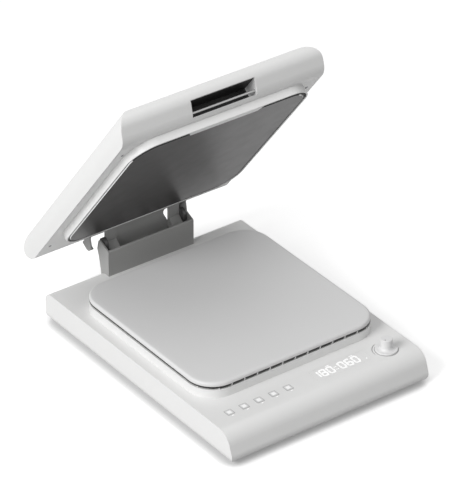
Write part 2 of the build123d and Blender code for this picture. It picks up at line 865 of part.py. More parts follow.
def make_insulation_board():
    width, depth, corner = heater_opening(insulation_margin - ledge_width)
    board = rounded_slab(width, depth, max(corner, 5), element_top, element_top + insulation_thickness,
                         y=bezel_y)
    for x in (-60, 60):
        board -= post(x, bezel_y, element_top - 1, element_top + insulation_thickness + 1, 12)
    return opened(board)


def make_temperature_sensor():
    body = post(-60, bezel_y, plate_top - 3, plate_top + 5, 4.5)
    body += block(-60 - 6, -60 + 6, bezel_y - 3, bezel_y + 3, plate_top + 3, plate_top + 6)
    return opened(body)


def make_thermal_cutout():
    body = post(60, bezel_y, plate_top - 3, plate_top + 1, 4.5)
    body += post(60, bezel_y, plate_top, plate_top + 8, 8)
    for sign in (-1, 1):
        body += block(60 + sign * 4 - 1.5, 60 + sign * 4 + 1.5, bezel_y - 0.4, bezel_y + 0.4,
                      plate_top + 7, plate_top + 14)
    return opened(body)


def make_handle_cup():
    """The dark liner of the hand recess, trimmed to the lid's raked front."""
    cup = handle_opening(handle_wall) - handle_opening(0)
    cup = cup & lid_form(lid_wall)
    cup = cup & block(-base_width, base_width, -base_depth, base_depth,
                      lid_underside + lid_panel_thickness, lid_top)
    return opened(cup)


def grip_bar_place():
    return (lid_front_y - 1, lid_underside + handle_bottom + 8)


def make_grip_bar():
    y, z = grip_bar_place()
    half = handle_width / 2
    return opened(bar_x(-half, half, y, z, grip_bar_radius))


def under_open_lid():
    """The space below the open lid's hinge flange."""
    space = block(-base_width, base_width, hinge_y - 200, hinge_y + 200, hinge_z - 200,
                  lid_underside - arm_flange_thickness / 2)
    return opened(space)


def make_cross_panel():
    """The panel between the arms; it stands upright when the lid is open."""
    low = hinge_z - cross_panel_foot
    shoulder = hinge_z + 8
    high = shoulder + 60
    outline = make_face(Polyline([
        (-arm_inner_x - 1, low),
        (cross_panel_foot_x, low),
        (cross_panel_foot_x, shoulder),
        (cross_panel_top_x, shoulder + 27),
        (cross_panel_top_x, shoulder + 32),
        (cross_panel_top_x + 4, shoulder + 37),
        (arm_inner_x + 1, shoulder + 39),
        (arm_inner_x + 1, high),
        (-arm_inner_x - 1, high),
    ], close=True))
    back = cross_panel_y + cross_panel_thickness
    return Pos(0, back, 0) * extrude(Plane.XZ * outline, cross_panel_thickness)


def make_hinge_arm(side):
    """A flat arm with a round head on the pin; it stands upright when the lid is open."""
    turn = radians(lid_open_angle)
    head_y = arm_head_radius * cos(turn)
    head_z = arm_head_radius * sin(turn)
    x0, x1 = sorted((side * arm_inner_x, side * (arm_inner_x + arm_width)))
    arm = side_extrude([
        (arm_front_y, arm_shoulder_z),
        (arm_front_y, hinge_z + 75),
        (arm_front_y + arm_thickness, hinge_z + 75),
        (arm_front_y + arm_thickness, hinge_z + arm_head_radius),
        (hinge_y + head_y, hinge_z - head_z),
        (hinge_y - head_y, hinge_z + head_z),
    ], x0, x1)
    return arm + bar_x(x0, x1, hinge_y, hinge_z, arm_head_radius)


def make_hinge_lug(side):
    """A hollow lug under the lid beside the tower's cheek."""
    low = lid_underside - lug_drop
    top = lid_underside - arm_flange_thickness / 2
    x0, x1 = sorted((side * lug_x, side * (lug_x + lug_width)))
    lug = side_extrude([
        (hinge_y - 19, top),
        (hinge_y + 1, low),
        (hinge_y + 13, low),
        (hinge_y + 17, low + 5),
        (hinge_y + 18, top),
    ], x0, x1)
    h0, h1 = sorted((side * (lug_x - 1), side * (lug_x + lug_width - lug_wall)))
    return lug - block(h0, h1, hinge_y - 30, hinge_y + 18 - lug_wall - 3, low - 1, top - lug_wall)


def make_hinge_frame():
    """Two arms on the pin, the cross panel between them, the flange on the lid and its outer lugs."""
    frame = make_hinge_arm(-1) + make_hinge_arm(1) + make_cross_panel()
    frame = frame & under_open_lid()
    flange_back = lid_back_y - 2
    low = lid_underside - arm_flange_thickness
    edge = lug_x + lug_width
    frame += opened(block(-edge, edge, hinge_y - arm_flange_reach, flange_back, low, lid_underside))
    for side in (-1, 1):
        frame += opened(make_hinge_lug(side))
    end = edge + 1
    return frame - bar_x(-end, end, hinge_y, hinge_z, hinge_pin_radius + running_gap)


# Control deck

def board_screw_places():
    dx = board_width / 2 - 6
    return [(sx * dx, deck_row_y + dy) for sx in (-1, 1) for dy in (-18, 18)]


def make_control_board():
    low = board_top - board_thickness
    half = board_depth / 2
    board = block(-board_width / 2, board_width / 2, deck_row_y - half, deck_row_y + half, low, board_top)
    stem_end = button_stem_end()
    for index in range(button_count):
        x = button_x(index)
        board += block(x - 3, x + 3, deck_row_y - 3, deck_row_y + 3, board_top - 0.5, stem_end - 2)
        board += post(x, deck_row_y, stem_end - 2.5, stem_end - button_travel - 0.1, 1.6)
    for x in (-20, -6):
        board += block(x, x + 9, deck_row_y + 8, deck_row_y + 17, low - 2, low + 0.5)
    board += block(-150, -110, deck_row_y - 20, deck_row_y - 12, low - 6, low + 0.5)
    for x, y in board_screw_places():
        board -= post(x, y, low - 1, board_top + 1, 1.6)
    return board


def button_stem_end():
    return deck_bottom - 5


def make_button(index):
    x = button_x(index)
    key = rounded_slab(button_side, button_side, button_corner, deck_bottom - 1,
                       base_top + button_rise, x=x, y=deck_row_y)
    key = fillet(key.edges().group_by(Axis.Z)[-1], 0.4)
    flange = button_side + 2 * button_play + 2 * button_flange
    key += rounded_slab(flange, flange, button_corner, deck_bottom - 1.6, deck_bottom - 0.1,
                        x=x, y=deck_row_y)
    key += post(x, deck_row_y, button_stem_end(), deck_bottom - 1, 2.5)
    return key


def make_display_module():
    half_width = window_width / 2 - 3.5
    half_depth = window_depth / 2 - 3.5
    top = base_top - window_thickness - window_play
    module = block(window_x - half_width, window_x + half_width, deck_row_y - half_depth,
                   deck_row_y + half_depth, board_top, top)
    return module


def make_display_window():
    play = 2 * window_play
    return rounded_slab(window_width - play, window_depth - play, 2 - window_play,
                        base_top - window_thickness - window_play, base_top, x=window_x, y=deck_row_y)


def make_encoder():
    body = block(knob_x - 7, knob_x + 7, knob_y - 7, knob_y + 7, board_top, deck_bottom - 2)
    body += post(knob_x, knob_y, deck_bottom - 3, base_top, encoder_shaft_radius + 2)
    return body - post(knob_x, knob_y, board_top + 2, base_top + 1, encoder_shaft_radius + running_gap)


def make_encoder_shaft():
    return post(knob_x, knob_y, board_top + 2.3, base_top + knob_height - 6, encoder_shaft_radius)


def make_control_knob():
    """A turned knob: thin skirt, concave flare and an upright grip."""
    low = base_top + knob_lift
    lip = low + knob_skirt_height
    top = base_top + knob_height
    flare = knob_flare
    grip = knob_grip_radius
    outline = [
        Line((0, low), (knob_skirt_radius, low)),
        Line((knob_skirt_radius, low), (knob_skirt_radius, lip - 0.8)),
        Line((knob_skirt_radius, lip - 0.8), (knob_skirt_radius - 0.8, lip)),
        Line((knob_skirt_radius - 0.8, lip), (grip + flare, lip)),
        RadiusArc((grip + flare, lip), (grip, lip + flare), flare),
        Line((grip, lip + flare), (grip, top - 0.8)),
        Line((grip, top - 0.8), (grip - 0.8, top)),
        Line((grip - 0.8, top), (0, top)),
        Line((0, top), (0, low)),
    ]
    face = make_face(outline)
    if face.area < 10:
        raise ValueError("the knob's outline is not closed")
    knob = Pos(knob_x, knob_y, 0) * revolve(Plane.XZ * face, Axis.Z)
    return knob - post(knob_x, knob_y, low - 1, base_top + knob_height - 6, encoder_shaft_radius)


# Rear panel

def make_power_inlet():
    """A mains inlet: flange outside, shell inside, three blades in the socket."""
    half_w, half_h = inlet_width / 2, inlet_height / 2
    inlet = rounded_slab(inlet_width, inlet_height, 2, 0, 2)
    inlet += rounded_slab(inlet_width - 4.4, inlet_height - 4.4, 1.5, -inlet_depth, 0.5)
    socket = make_face(Polyline([
        (-half_w + 4, half_h - 5), (half_w - 4, half_h - 5), (half_w - 4, -half_h + 7),
        (half_w - 7, -half_h + 4), (-half_w + 7, -half_h + 4), (-half_w + 4, -half_h + 7)], close=True))
    inlet -= extrude(Pos(0, 0, 2.5) * socket, -19)
    for x, y in ((-6, 1.5), (6, 1.5), (0, -3)):
        inlet += Pos(x, y, -11) * Box(1.6, 3.6, 14)
    rear = Plane(origin=(inlet_x, base_back, rear_panel_z), x_dir=(-1, 0, 0), z_dir=(0, 1, 0))
    return rear * inlet


def rocker_axis_y():
    return base_back - rocker_radius * 0.55


def make_switch_housing():
    half_w, half_h = switch_width / 2, switch_height / 2
    body = block(switch_x - half_w, switch_x + half_w, base_back, base_back + 2,
                 rear_panel_z - half_h, rear_panel_z + half_h)
    body += block(switch_x - half_w + 2.2, switch_x + half_w - 2.2, base_back - 18, base_back + 0.5,
                  rear_panel_z - half_h + 2.2, rear_panel_z + half_h - 2.2)
    half = rocker_width / 2 + rocker_play
    radius = rocker_radius + rocker_play
    body -= bar_x(switch_x - half, switch_x + half, rocker_axis_y(), rear_panel_z, radius)
    body -= block(switch_x - half, switch_x + half, rocker_axis_y(), base_back + 3,
                  rear_panel_z - 8, rear_panel_z + 8)
    for sign in (-1, 1):
        x0, x1 = sorted((switch_x + sign * (rocker_width / 2 + running_gap), switch_x + sign * (half + 1)))
        body += bar_x(x0, x1, rocker_axis_y(), rear_panel_z, 1.5)
    return body


def make_power_rocker():
    """A rocker whose two faces meet in a shallow vee, tipped to its off side."""
    half = rocker_width / 2
    y = rocker_axis_y()
    rocker = bar_x(switch_x - half, switch_x + half, y, rear_panel_z, rocker_radius)
    keep = side_extrude([
        (y - rocker_radius - 1, rear_panel_z - 2 * rocker_radius),
        (y + rocker_radius * 0.82 + 1.5, rear_panel_z - 2 * rocker_radius),
        (y + rocker_radius * 0.55, rear_panel_z),
        (y + rocker_radius * 0.82 + 1.5, rear_panel_z + 2 * rocker_radius),
        (y - rocker_radius - 1, rear_panel_z + 2 * rocker_radius),
    ], switch_x - half - 1, switch_x + half + 1)
    rocker = rocker & keep
    return rocker.rotate(Axis((switch_x, y, rear_panel_z), (1, 0, 0)), rocker_throw / 2)


def power_board_places():
    middle = base_back - power_board_inset
    return [(x, y) for x in (-140, -20) for y in (middle - 17, middle + 17)]


def make_power_board():
    low = floor_top + 6
    middle = base_back - power_board_inset
    board = block(-146, -14, middle - 23, middle + 23, low, low + 1.6)
    board += block(-135, -103, middle - 15, middle + 15, low + 1, low + 24)
    for x in (-92, -78):
        board += post(x, middle + 7, low + 1, low + 20, 5)
    for x in (-66, -46):
        board += block(x, x + 14, middle - 17, middle - 1, low + 1, low + 13)
    for x, y in power_board_places():
        board -= post(x, y, low - 1, low + 2.6, 1.4)
    return board


# All pieces by node name

def build_parts():
    parts = {
        "base_cover": make_base_cover(),
        "base_pan": make_base_pan(),
        "platen_carrier": make_platen_carrier(),
        "platen_plate": make_platen_plate(),
        "pressing_pad": make_pressing_pad(),
        "lift_gear": make_lift_gear(),
        "lift_bearing": make_lift_bearing(),
        "lift_screw": make_lift_screw(),
        "lift_motor": make_lift_motor(),
        "motor_shaft": make_motor_shaft(),
        "motor_pinion": make_motor_pinion(),
        "gear_bridge": make_gear_bridge(),
        "hinge_tower": make_hinge_tower(),
        "hinge_pin": make_hinge_pin(),
        "lid_cover": make_lid_cover(),
        "lid_frame": make_lid_frame(),
        "heat_plate": make_heat_plate(),
        "plate_seal": make_plate_seal(),
        "heating_element": make_heating_element(),
        "insulation_board": make_insulation_board(),
        "temperature_sensor": make_temperature_sensor(),
        "thermal_cutout": make_thermal_cutout(),
        "handle_cup": make_handle_cup(),
        "grip_bar": make_grip_bar(),
        "hinge_frame": make_hinge_frame(),
        "control_board": make_control_board(),
        "display_module": make_display_module(),
        "display_window": make_display_window(),
        "encoder": make_encoder(),
        "encoder_shaft": make_encoder_shaft(),
        "control_knob": make_control_knob(),
        "power_inlet": make_power_inlet(),
        "switch_housing": make_switch_housing(),
        "power_rocker": make_power_rocker(),
        "power_board": make_power_board(),
    }
    for name, (x, y) in foot_places().items():
        parts[f"foot_{name}"] = make_foot(x, y)
    for name, (x, y) in zip(("left_front", "left_rear", "right_front", "right_rear"), guide_places()):
        parts[f"guide_post_{name}"] = make_guide_post(x, y)
        parts[f"guide_bush_{name}"] = make_guide_bush(x, y)
    for index in range(button_count):
        parts[f"button_{index + 1}"] = make_button(index)
    for name, side in (("left", -1), ("right", 1)):
        parts[f"hinge_bracket_{name}"] = make_hinge_bracket(side)
        parts[f"return_spring_{name}"] = make_return_spring(side)
    return parts


def main():
    os.makedirs("parts", exist_ok=True)
    for name, shape in build_parts().items():
        export_step(shape, f"parts/{name}.step")


main()
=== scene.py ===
"""Looks of the automatic heat press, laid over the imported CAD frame."""
import json
import math

import bmesh
import bpy
from mathutils import Matrix, Vector


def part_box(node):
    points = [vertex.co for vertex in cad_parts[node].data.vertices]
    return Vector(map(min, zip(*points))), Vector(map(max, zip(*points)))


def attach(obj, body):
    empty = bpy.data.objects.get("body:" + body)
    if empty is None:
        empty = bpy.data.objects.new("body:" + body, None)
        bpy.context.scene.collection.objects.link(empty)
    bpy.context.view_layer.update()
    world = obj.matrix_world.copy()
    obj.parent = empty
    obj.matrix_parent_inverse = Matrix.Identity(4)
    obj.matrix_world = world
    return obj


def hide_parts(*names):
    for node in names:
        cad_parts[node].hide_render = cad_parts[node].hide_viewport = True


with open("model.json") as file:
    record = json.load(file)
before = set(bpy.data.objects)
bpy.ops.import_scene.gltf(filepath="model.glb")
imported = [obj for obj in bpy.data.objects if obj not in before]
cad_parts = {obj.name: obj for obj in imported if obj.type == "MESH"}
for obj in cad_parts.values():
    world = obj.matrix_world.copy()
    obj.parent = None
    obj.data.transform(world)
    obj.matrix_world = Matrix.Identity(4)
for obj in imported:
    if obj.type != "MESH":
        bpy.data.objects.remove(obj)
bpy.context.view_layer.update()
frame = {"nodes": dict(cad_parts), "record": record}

bl_info = {
    "name": "Heat Press Looks",
    "version": (1, 0, 0),
    "blender": (4, 5, 0),
    "location": "View3D > Sidebar > Heat Press",
    "description": "Finishes, lit marks, fasteners and stage for the automatic heat press",
    "category": "Object",
}

MM = 0.001
NODES = frame["nodes"]
RECORD = frame["record"]
JOINTS = {joint["name"]: joint for joint in RECORD["behaviour"]["joints"]}
HINGE = Vector(JOINTS["lid_hinge"]["pos_m"])
LID_ANGLE = math.radians(JOINTS["lid_hinge"]["range_deg"][1])

# The lid's turn from shut to its pose at rest, and where its underside faces then
LID_TURN = Matrix.Rotation(-LID_ANGLE, 3, "X")
LID_DOWN = LID_TURN @ Vector((0, 0, -1))

# How far lit and dark marks stand on the surface that carries them
MARK_HEIGHT = 0.06 * MM


# Settings that a user would change

class PressFinishSettings(bpy.types.PropertyGroup):
    shell_color: bpy.props.FloatVectorProperty(
        name="Shell", description="Colour of the white housings", subtype="COLOR", size=3,
        default=(0.78, 0.78, 0.775), min=0.0, max=1.0)
    underside_color: bpy.props.FloatVectorProperty(
        name="Lid underside", description="Colour of the panel round the heat plate",
        subtype="COLOR", size=3, default=(0.82, 0.82, 0.815), min=0.0, max=1.0)
    tower_color: bpy.props.FloatVectorProperty(
        name="Hinge tower", description="Colour of the tower and the hinge arms", subtype="COLOR", size=3,
        default=(0.34, 0.34, 0.335), min=0.0, max=1.0)
    plate_color: bpy.props.FloatVectorProperty(
        name="Heat plate", description="Colour of the plate's non-stick coat", subtype="COLOR", size=3,
        default=(0.045, 0.043, 0.043), min=0.0, max=1.0)
    pad_color: bpy.props.FloatVectorProperty(
        name="Pressing pad", description="Colour of the soft pad", subtype="COLOR", size=3,
        default=(0.70, 0.70, 0.70), min=0.0, max=1.0)
    shell_roughness: bpy.props.FloatProperty(
        name="Shell roughness", description="How dull the white housings are",
        default=0.38, min=0.0, max=1.0)
    edge_radius: bpy.props.FloatProperty(
        name="Edge softness", description="Radius that catches light along moulded edges",
        default=0.8 * MM, unit="LENGTH")


class PressDisplaySettings(bpy.types.PropertyGroup):
    temperature: bpy.props.IntProperty(
        name="Temperature", description="Number on the left of the display", default=180, min=0, max=999)
    seconds: bpy.props.IntProperty(
        name="Seconds", description="Number on the right of the display", default=60, min=0, max=999)
    digit_height: bpy.props.FloatProperty(
        name="Digit height", description="Height of one digit on the deck", default=21.5 * MM, unit="LENGTH")
    digit_width: bpy.props.FloatProperty(
        name="Digit width", description="Width of one digit on the deck", default=13.0 * MM, unit="LENGTH")
    digit_pitch: bpy.props.FloatProperty(
        name="Digit pitch", description="Distance from one digit to the next",
        default=15.6 * MM, unit="LENGTH")
    stroke: bpy.props.FloatProperty(
        name="Stroke", description="Width of a lit segment", default=3.0 * MM, unit="LENGTH")
    left_start: bpy.props.FloatProperty(
        name="Left number", description="Where the left number starts", default=9.4 * MM, unit="LENGTH")
    right_start: bpy.props.FloatProperty(
        name="Right number", description="Where the right number starts", default=66.0 * MM, unit="LENGTH")
    glow: bpy.props.FloatProperty(
        name="Glow", description="Brightness of the lit marks", default=1.0, min=0.0, max=4.0)


class PressStageSettings(bpy.types.PropertyGroup):
    camera_place: bpy.props.FloatVectorProperty(
        name="Camera", description="Where the camera stands", subtype="XYZ", size=3, unit="LENGTH",
        default=(-3.3516, -4.5339, 3.7972))
    camera_aim: bpy.props.FloatVectorProperty(
        name="Camera direction", description="Direction that the camera looks in",
        subtype="DIRECTION", size=3, default=(0.4998, 0.6808, -0.5356))
    lens: bpy.props.FloatProperty(
        name="Lens", description="Focal length on a 36 mm sensor, in millimetres", default=267.84)
    sky: bpy.props.FloatProperty(
        name="Sky", description="Strength of the even light from all round", default=0.45, min=0.0)
    side_power: bpy.props.FloatProperty(
        name="Side light", description="Power of the soft light from the left",
        default=300.0, min=0.0, unit="POWER")
    top_power: bpy.props.FloatProperty(
        name="Top light", description="Power of the soft light from above",
        default=10.0, min=0.0, unit="POWER")
    floor_size: bpy.props.FloatProperty(
        name="Floor", description="Width of the floor", default=40.0, unit="LENGTH")


# Node helpers

SURFACE_OUTPUTS = [("Color", "Color"), ("Roughness", "Float"), ("Normal", "Vector")]
EDGE_SAMPLES = 4
NOISE_MIDDLE = 0.5

# Places of the colour sockets on a Mix node, whose names repeat for each kind of value
MIX_BASE, MIX_TINT, MIX_RESULT = 6, 7, 2


def principled(name, color, roughness, metallic=0.0, **sockets):
    """A new material with its Principled shader set directly."""
    made = bpy.data.materials.new(name)
    made.use_nodes = True
    shader = made.node_tree.nodes["Principled BSDF"]
    shader.inputs["Base Color"].default_value = (*color[:3], 1.0)
    shader.inputs["Roughness"].default_value = roughness
    shader.inputs["Metallic"].default_value = metallic
    for key, value in sockets.items():
        shader.inputs[key.replace("_", " ")].default_value = value
    return made, shader


def new_group(name, inputs, outputs):
    """An empty shader group with named sockets; inputs give (name, kind, default)."""
    tree = bpy.data.node_groups.new(name, "ShaderNodeTree")
    for label, kind, default in inputs:
        socket = tree.interface.new_socket(label, in_out="INPUT", socket_type=f"NodeSocket{kind}")
        socket.default_value = default
    for label, kind in outputs:
        tree.interface.new_socket(label, in_out="OUTPUT", socket_type=f"NodeSocket{kind}")
    return tree, tree.nodes.new("NodeGroupInput"), tree.nodes.new("NodeGroupOutput")


def math_node(tree, operation, first, second):
    """A Math node fed by sockets or plain numbers."""
    node = tree.nodes.new("ShaderNodeMath")
    node.operation = operation
    for index, value in enumerate((first, second)):
        if isinstance(value, (int, float)):
            node.inputs[index].default_value = value
        else:
            tree.links.new(value, node.inputs[index])
    return node.outputs[0]


def noise_node(tree, coordinates, scale, detail):
    """Object-space noise; scale may be a socket or a number."""
    node = tree.nodes.new("ShaderNodeTexNoise")
    node.inputs["Detail"].default_value = detail
    tree.links.new(coordinates, node.inputs["Vector"])
    if isinstance(scale, (int, float)):
        node.inputs["Scale"].default_value = scale
    else:
        tree.links.new(scale, node.inputs["Scale"])
    return node.outputs["Fac"]


def varied(tree, noise, amount, middle):
    """A value that swings round its middle with the noise, by the given amount."""
    swing = math_node(tree, "MULTIPLY", math_node(tree, "SUBTRACT", noise, NOISE_MIDDLE), amount)
    return math_node(tree, "ADD", middle, swing)


def shaded(tree, color, brightness):
    """A colour made darker or lighter by a brightness round 1."""
    tint = tree.nodes.new("ShaderNodeHueSaturation")
    tree.links.new(brightness, tint.inputs["Value"])
    tree.links.new(color, tint.inputs["Color"])
    return tint.outputs["Color"]


def surface_normal(tree, radius, height, distance):
    """The normal of a surface with softened edges and a fine relief on it."""
    soft = tree.nodes.new("ShaderNodeBevel")
    soft.samples = EDGE_SAMPLES
    tree.links.new(radius, soft.inputs["Radius"])
    bump = tree.nodes.new("ShaderNodeBump")
    tree.links.new(height, bump.inputs["Height"])
    tree.links.new(distance, bump.inputs["Distance"])
    tree.links.new(soft.outputs["Normal"], bump.inputs["Normal"])
    return bump.outputs["Normal"]


def facing(tree, normal, direction):
    """How far a normal points along a direction, from -1 to 1."""
    node = tree.nodes.new("ShaderNodeVectorMath")
    node.operation = "DOT_PRODUCT"
    node.inputs[1].default_value = direction
    tree.links.new(normal, node.inputs[0])
    return node.outputs["Value"]


def sideways(tree, normal, limit):
    """A mask of the faces that look to the left or the right."""
    aside = math_node(tree, "ABSOLUTE", facing(tree, normal, (1.0, 0.0, 0.0)), 0.0)
    return math_node(tree, "GREATER_THAN", aside, limit)


def painted(tree, base, tint, mask):
    """The base colour, with the tint where the mask is one."""
    mix = tree.nodes.new("ShaderNodeMix")
    mix.data_type = "RGBA"
    tree.links.new(mask, mix.inputs["Factor"])
    tree.links.new(base, mix.inputs[MIX_BASE])
    mix.inputs[MIX_TINT].default_value = (*tint, 1.0)
    return mix.outputs[MIX_RESULT]


def eased(tree, value, start, end, low=0.0, high=1.0):
    """A smooth change from low to high while the value goes from start to end."""
    node = tree.nodes.new("ShaderNodeMapRange")
    node.interpolation_type = "SMOOTHSTEP"
    for key, number in (("From Min", start), ("From Max", end), ("To Min", low), ("To Max", high)):
        node.inputs[key].default_value = number
    tree.links.new(value, node.inputs["Value"])
    return node.outputs["Result"]


def seen_rays(tree):
    """One for what the camera sees, also in metal and through glass, and zero for other light."""
    path = tree.nodes.new("ShaderNodeLightPath")
    seen = math_node(tree, "MAXIMUM", path.outputs["Is Camera Ray"], path.outputs["Is Glossy Ray"])
    return math_node(tree, "MAXIMUM", seen, path.outputs["Is Transmission Ray"])


# Surface groups, shared by the materials

LINE_SHARE = 0.6
LINE_CONTRAST = 0.12


def join_outputs(tree, leave, color, roughness, normal):
    """Lead a surface group's results to its outputs."""
    tree.links.new(color, leave.inputs["Color"])
    tree.links.new(roughness, leave.inputs["Roughness"])
    tree.links.new(normal, leave.inputs["Normal"])


def build_moulded_group():
    """Moulded or painted surface: fine grain, faint mottle, slight gloss changes, softened edges."""
    tree, enter, leave = new_group(
        "Moulded surface",
        [("Color", "Color", (0.8, 0.8, 0.8, 1.0)), ("Roughness", "Float", 0.4),
         ("Grain scale", "Float", 900.0), ("Grain height", "Float", 0.02 * MM),
         ("Mottle", "Float", 0.03), ("Gloss change", "Float", 0.06), ("Edge radius", "Float", 0.8 * MM)],
        SURFACE_OUTPUTS)
    given = enter.outputs
    place = tree.nodes.new("ShaderNodeTexCoord").outputs["Object"]
    grain = noise_node(tree, place, scale=given["Grain scale"], detail=3.0)
    cloud = noise_node(tree, place, scale=9.0, detail=4.0)
    smudge = noise_node(tree, place, scale=34.0, detail=5.0)
    color = shaded(tree, given["Color"], varied(tree, cloud, given["Mottle"], 1.0))
    rough = varied(tree, smudge, given["Gloss change"], given["Roughness"])
    normal = surface_normal(tree, given["Edge radius"], grain, given["Grain height"])
    join_outputs(tree, leave, color, rough, normal)
    return tree


def build_metal_group():
    """Worked metal: fine lines along one axis, stains in the gloss, softened edges."""
    tree, enter, leave = new_group(
        "Worked metal",
        [("Color", "Color", (0.7, 0.7, 0.7, 1.0)), ("Roughness", "Float", 0.3),
         ("Stretch", "Vector", (1.0, 1.0, 1.0)), ("Line height", "Float", 0.01 * MM),
         ("Gloss change", "Float", 0.12), ("Edge radius", "Float", 0.4 * MM)],
        SURFACE_OUTPUTS)
    given = enter.outputs
    place = tree.nodes.new("ShaderNodeTexCoord").outputs["Object"]
    spread = tree.nodes.new("ShaderNodeVectorMath")
    spread.operation = "MULTIPLY"
    tree.links.new(place, spread.inputs[0])
    tree.links.new(given["Stretch"], spread.inputs[1])
    lines = noise_node(tree, spread.outputs[0], scale=700.0, detail=4.0)
    stain = noise_node(tree, place, scale=22.0, detail=5.0)
    both = math_node(tree, "ADD", math_node(tree, "MULTIPLY", lines, LINE_SHARE),
                     math_node(tree, "MULTIPLY", stain, 1.0 - LINE_SHARE))
    color = shaded(tree, given["Color"], varied(tree, lines, LINE_CONTRAST, 1.0))
    rough = varied(tree, both, given["Gloss change"], given["Roughness"])
    normal = surface_normal(tree, given["Edge radius"], lines, given["Line height"])
    join_outputs(tree, leave, color, rough, normal)
    return tree


def shared_group(name, build):
    """A group built once and found by name afterwards."""
    return bpy.data.node_groups.get(name) or build()


def dress(material, shader, group, **values):
    """Place a shared group in a material and feed the Principled shader from it."""
    tree = material.node_tree
    node = tree.nodes.new("ShaderNodeGroup")
    node.node_tree = group
    for key, value in values.items():
        node.inputs[key.replace("_", " ")].default_value = value
    tree.links.new(node.outputs["Color"], shader.inputs["Base Color"])
    tree.links.new(node.outputs["Roughness"], shader.inputs["Roughness"])
    tree.links.new(node.outputs["Normal"], shader.inputs["Normal"])
    return node


# Finishes; the limits are cosines of the angle between a face's normal and the direction it is held against

PLATE_FACE_LIMIT = 0.93
PLATE_SIDE_LIMIT = 0.35
# Bright metal of the heat plate's side bevels, partly the plate's metal and partly a painted highlight
BARE_METAL_HIGHLIGHT = (0.80, 0.80, 0.80)
RECESS_BLACK = (0.012, 0.012, 0.012)
# Painted light inside the black recess: its lit floor and its pale end walls
RECESS_FLOOR_PAINTED_LIGHT = (0.20, 0.20, 0.20)
RECESS_END_PAINTED_LIGHT = (0.62, 0.62, 0.62)
RECESS_LIMIT = 0.7


def new_moulded(name, color, roughness, grain_scale=900.0, grain_height=0.02 * MM, mottle=0.03, change=0.06,
                edge=0.8 * MM, **sockets):
    """A new moulded material, its Principled shader and the group node that feeds it."""
    made, shader = principled(name, color, roughness, **sockets)
    node = dress(made, shader, shared_group("Moulded surface", build_moulded_group),
                 Color=(*color[:3], 1.0), Roughness=roughness, Grain_scale=grain_scale,
                 Grain_height=grain_height, Mottle=mottle, Gloss_change=change, Edge_radius=edge)
    return made, shader, node


def moulded(name, color, roughness, **values):
    """Moulded plastic, rubber or paint."""
    return bpy.data.materials.get(name) or new_moulded(name, color, roughness, **values)[0]


def metal(name, color, roughness, stretch=(1.0, 1.0, 1.0), line_height=0.01 * MM, change=0.12, edge=0.4 * MM,
          **sockets):
    """Bare or plated metal."""
    if name in bpy.data.materials:
        return bpy.data.materials[name]
    made, shader = principled(name, color, roughness, metallic=1.0, **sockets)
    dress(made, shader, shared_group("Worked metal", build_metal_group),
          Color=(*color[:3], 1.0), Roughness=roughness, Stretch=stretch, Line_height=line_height,
          Gloss_change=change, Edge_radius=edge)
    return made


def lit_mark_finish(name="Lit mark", strength=0.35, grey=0.9):
    """White light that shines through the deck."""
    if name in bpy.data.materials:
        return bpy.data.materials[name]
    made, shader, _ = new_moulded(name, (grey, grey, grey), 0.4, mottle=0.02, edge=0.1 * MM)
    shader.inputs["Emission Color"].default_value = (1.0, 1.0, 1.0, 1.0)
    shader.inputs["Emission Strength"].default_value = strength * bpy.context.scene.press_display.glow
    return made


def heat_plate_finish():
    """Dark coat on the plate's face, and bright uncoated metal on its bevels and edges at the left and the
    right only: partly the plate's own metal, partly a painted highlight along those sides.
    """
    name = "Heat plate coat"
    if name in bpy.data.materials:
        return bpy.data.materials[name]
    made, shader, node = new_moulded(
        name, bpy.context.scene.press_finish.plate_color, 0.32, grain_scale=1400.0, grain_height=0.01 * MM,
        mottle=0.12, change=0.10, edge=0.2 * MM, Specular_IOR_Level=0.22)
    tree = made.node_tree
    normal = tree.nodes.new("ShaderNodeTexCoord").outputs["Normal"]
    # Painted highlight: only the bevels that face left and right get bright metal, the front and rear ones
    # keep the dark coat
    off_face = math_node(tree, "LESS_THAN", facing(tree, normal, LID_DOWN), PLATE_FACE_LIMIT)
    bare_highlight = math_node(tree, "MULTIPLY", off_face, sideways(tree, normal, PLATE_SIDE_LIMIT))
    tree.links.new(painted(tree, node.outputs["Color"], BARE_METAL_HIGHLIGHT, bare_highlight), shader.inputs["Base Color"])
    tree.links.new(bare_highlight, shader.inputs["Metallic"])
    return made


def recess_finish():
    """Black, with painted light: grey on faces that look up from the lid, as on the hand recess's lit floor,
    and pale on its end walls, as lit.

    Every piece of the slot has this painted light on its faces that look the same ways.
    """
    name = "Black recess"
    if name in bpy.data.materials:
        return bpy.data.materials[name]
    made, shader, node = new_moulded(name, RECESS_BLACK, 0.5, grain_height=0.04 * MM)
    tree = made.node_tree
    normal = tree.nodes.new("ShaderNodeTexCoord").outputs["Normal"]
    # Painted light: faces looking up from the lid and the end walls are lighter than the black plastic, as
    # where light falls into the recess
    floor = math_node(tree, "GREATER_THAN", facing(tree, normal, -LID_DOWN), RECESS_LIMIT)
    ends = sideways(tree, normal, RECESS_LIMIT)
    color = painted(tree, node.outputs["Color"], RECESS_FLOOR_PAINTED_LIGHT, floor)
    tree.links.new(painted(tree, color, RECESS_END_PAINTED_LIGHT, ends), shader.inputs["Base Color"])
    return made


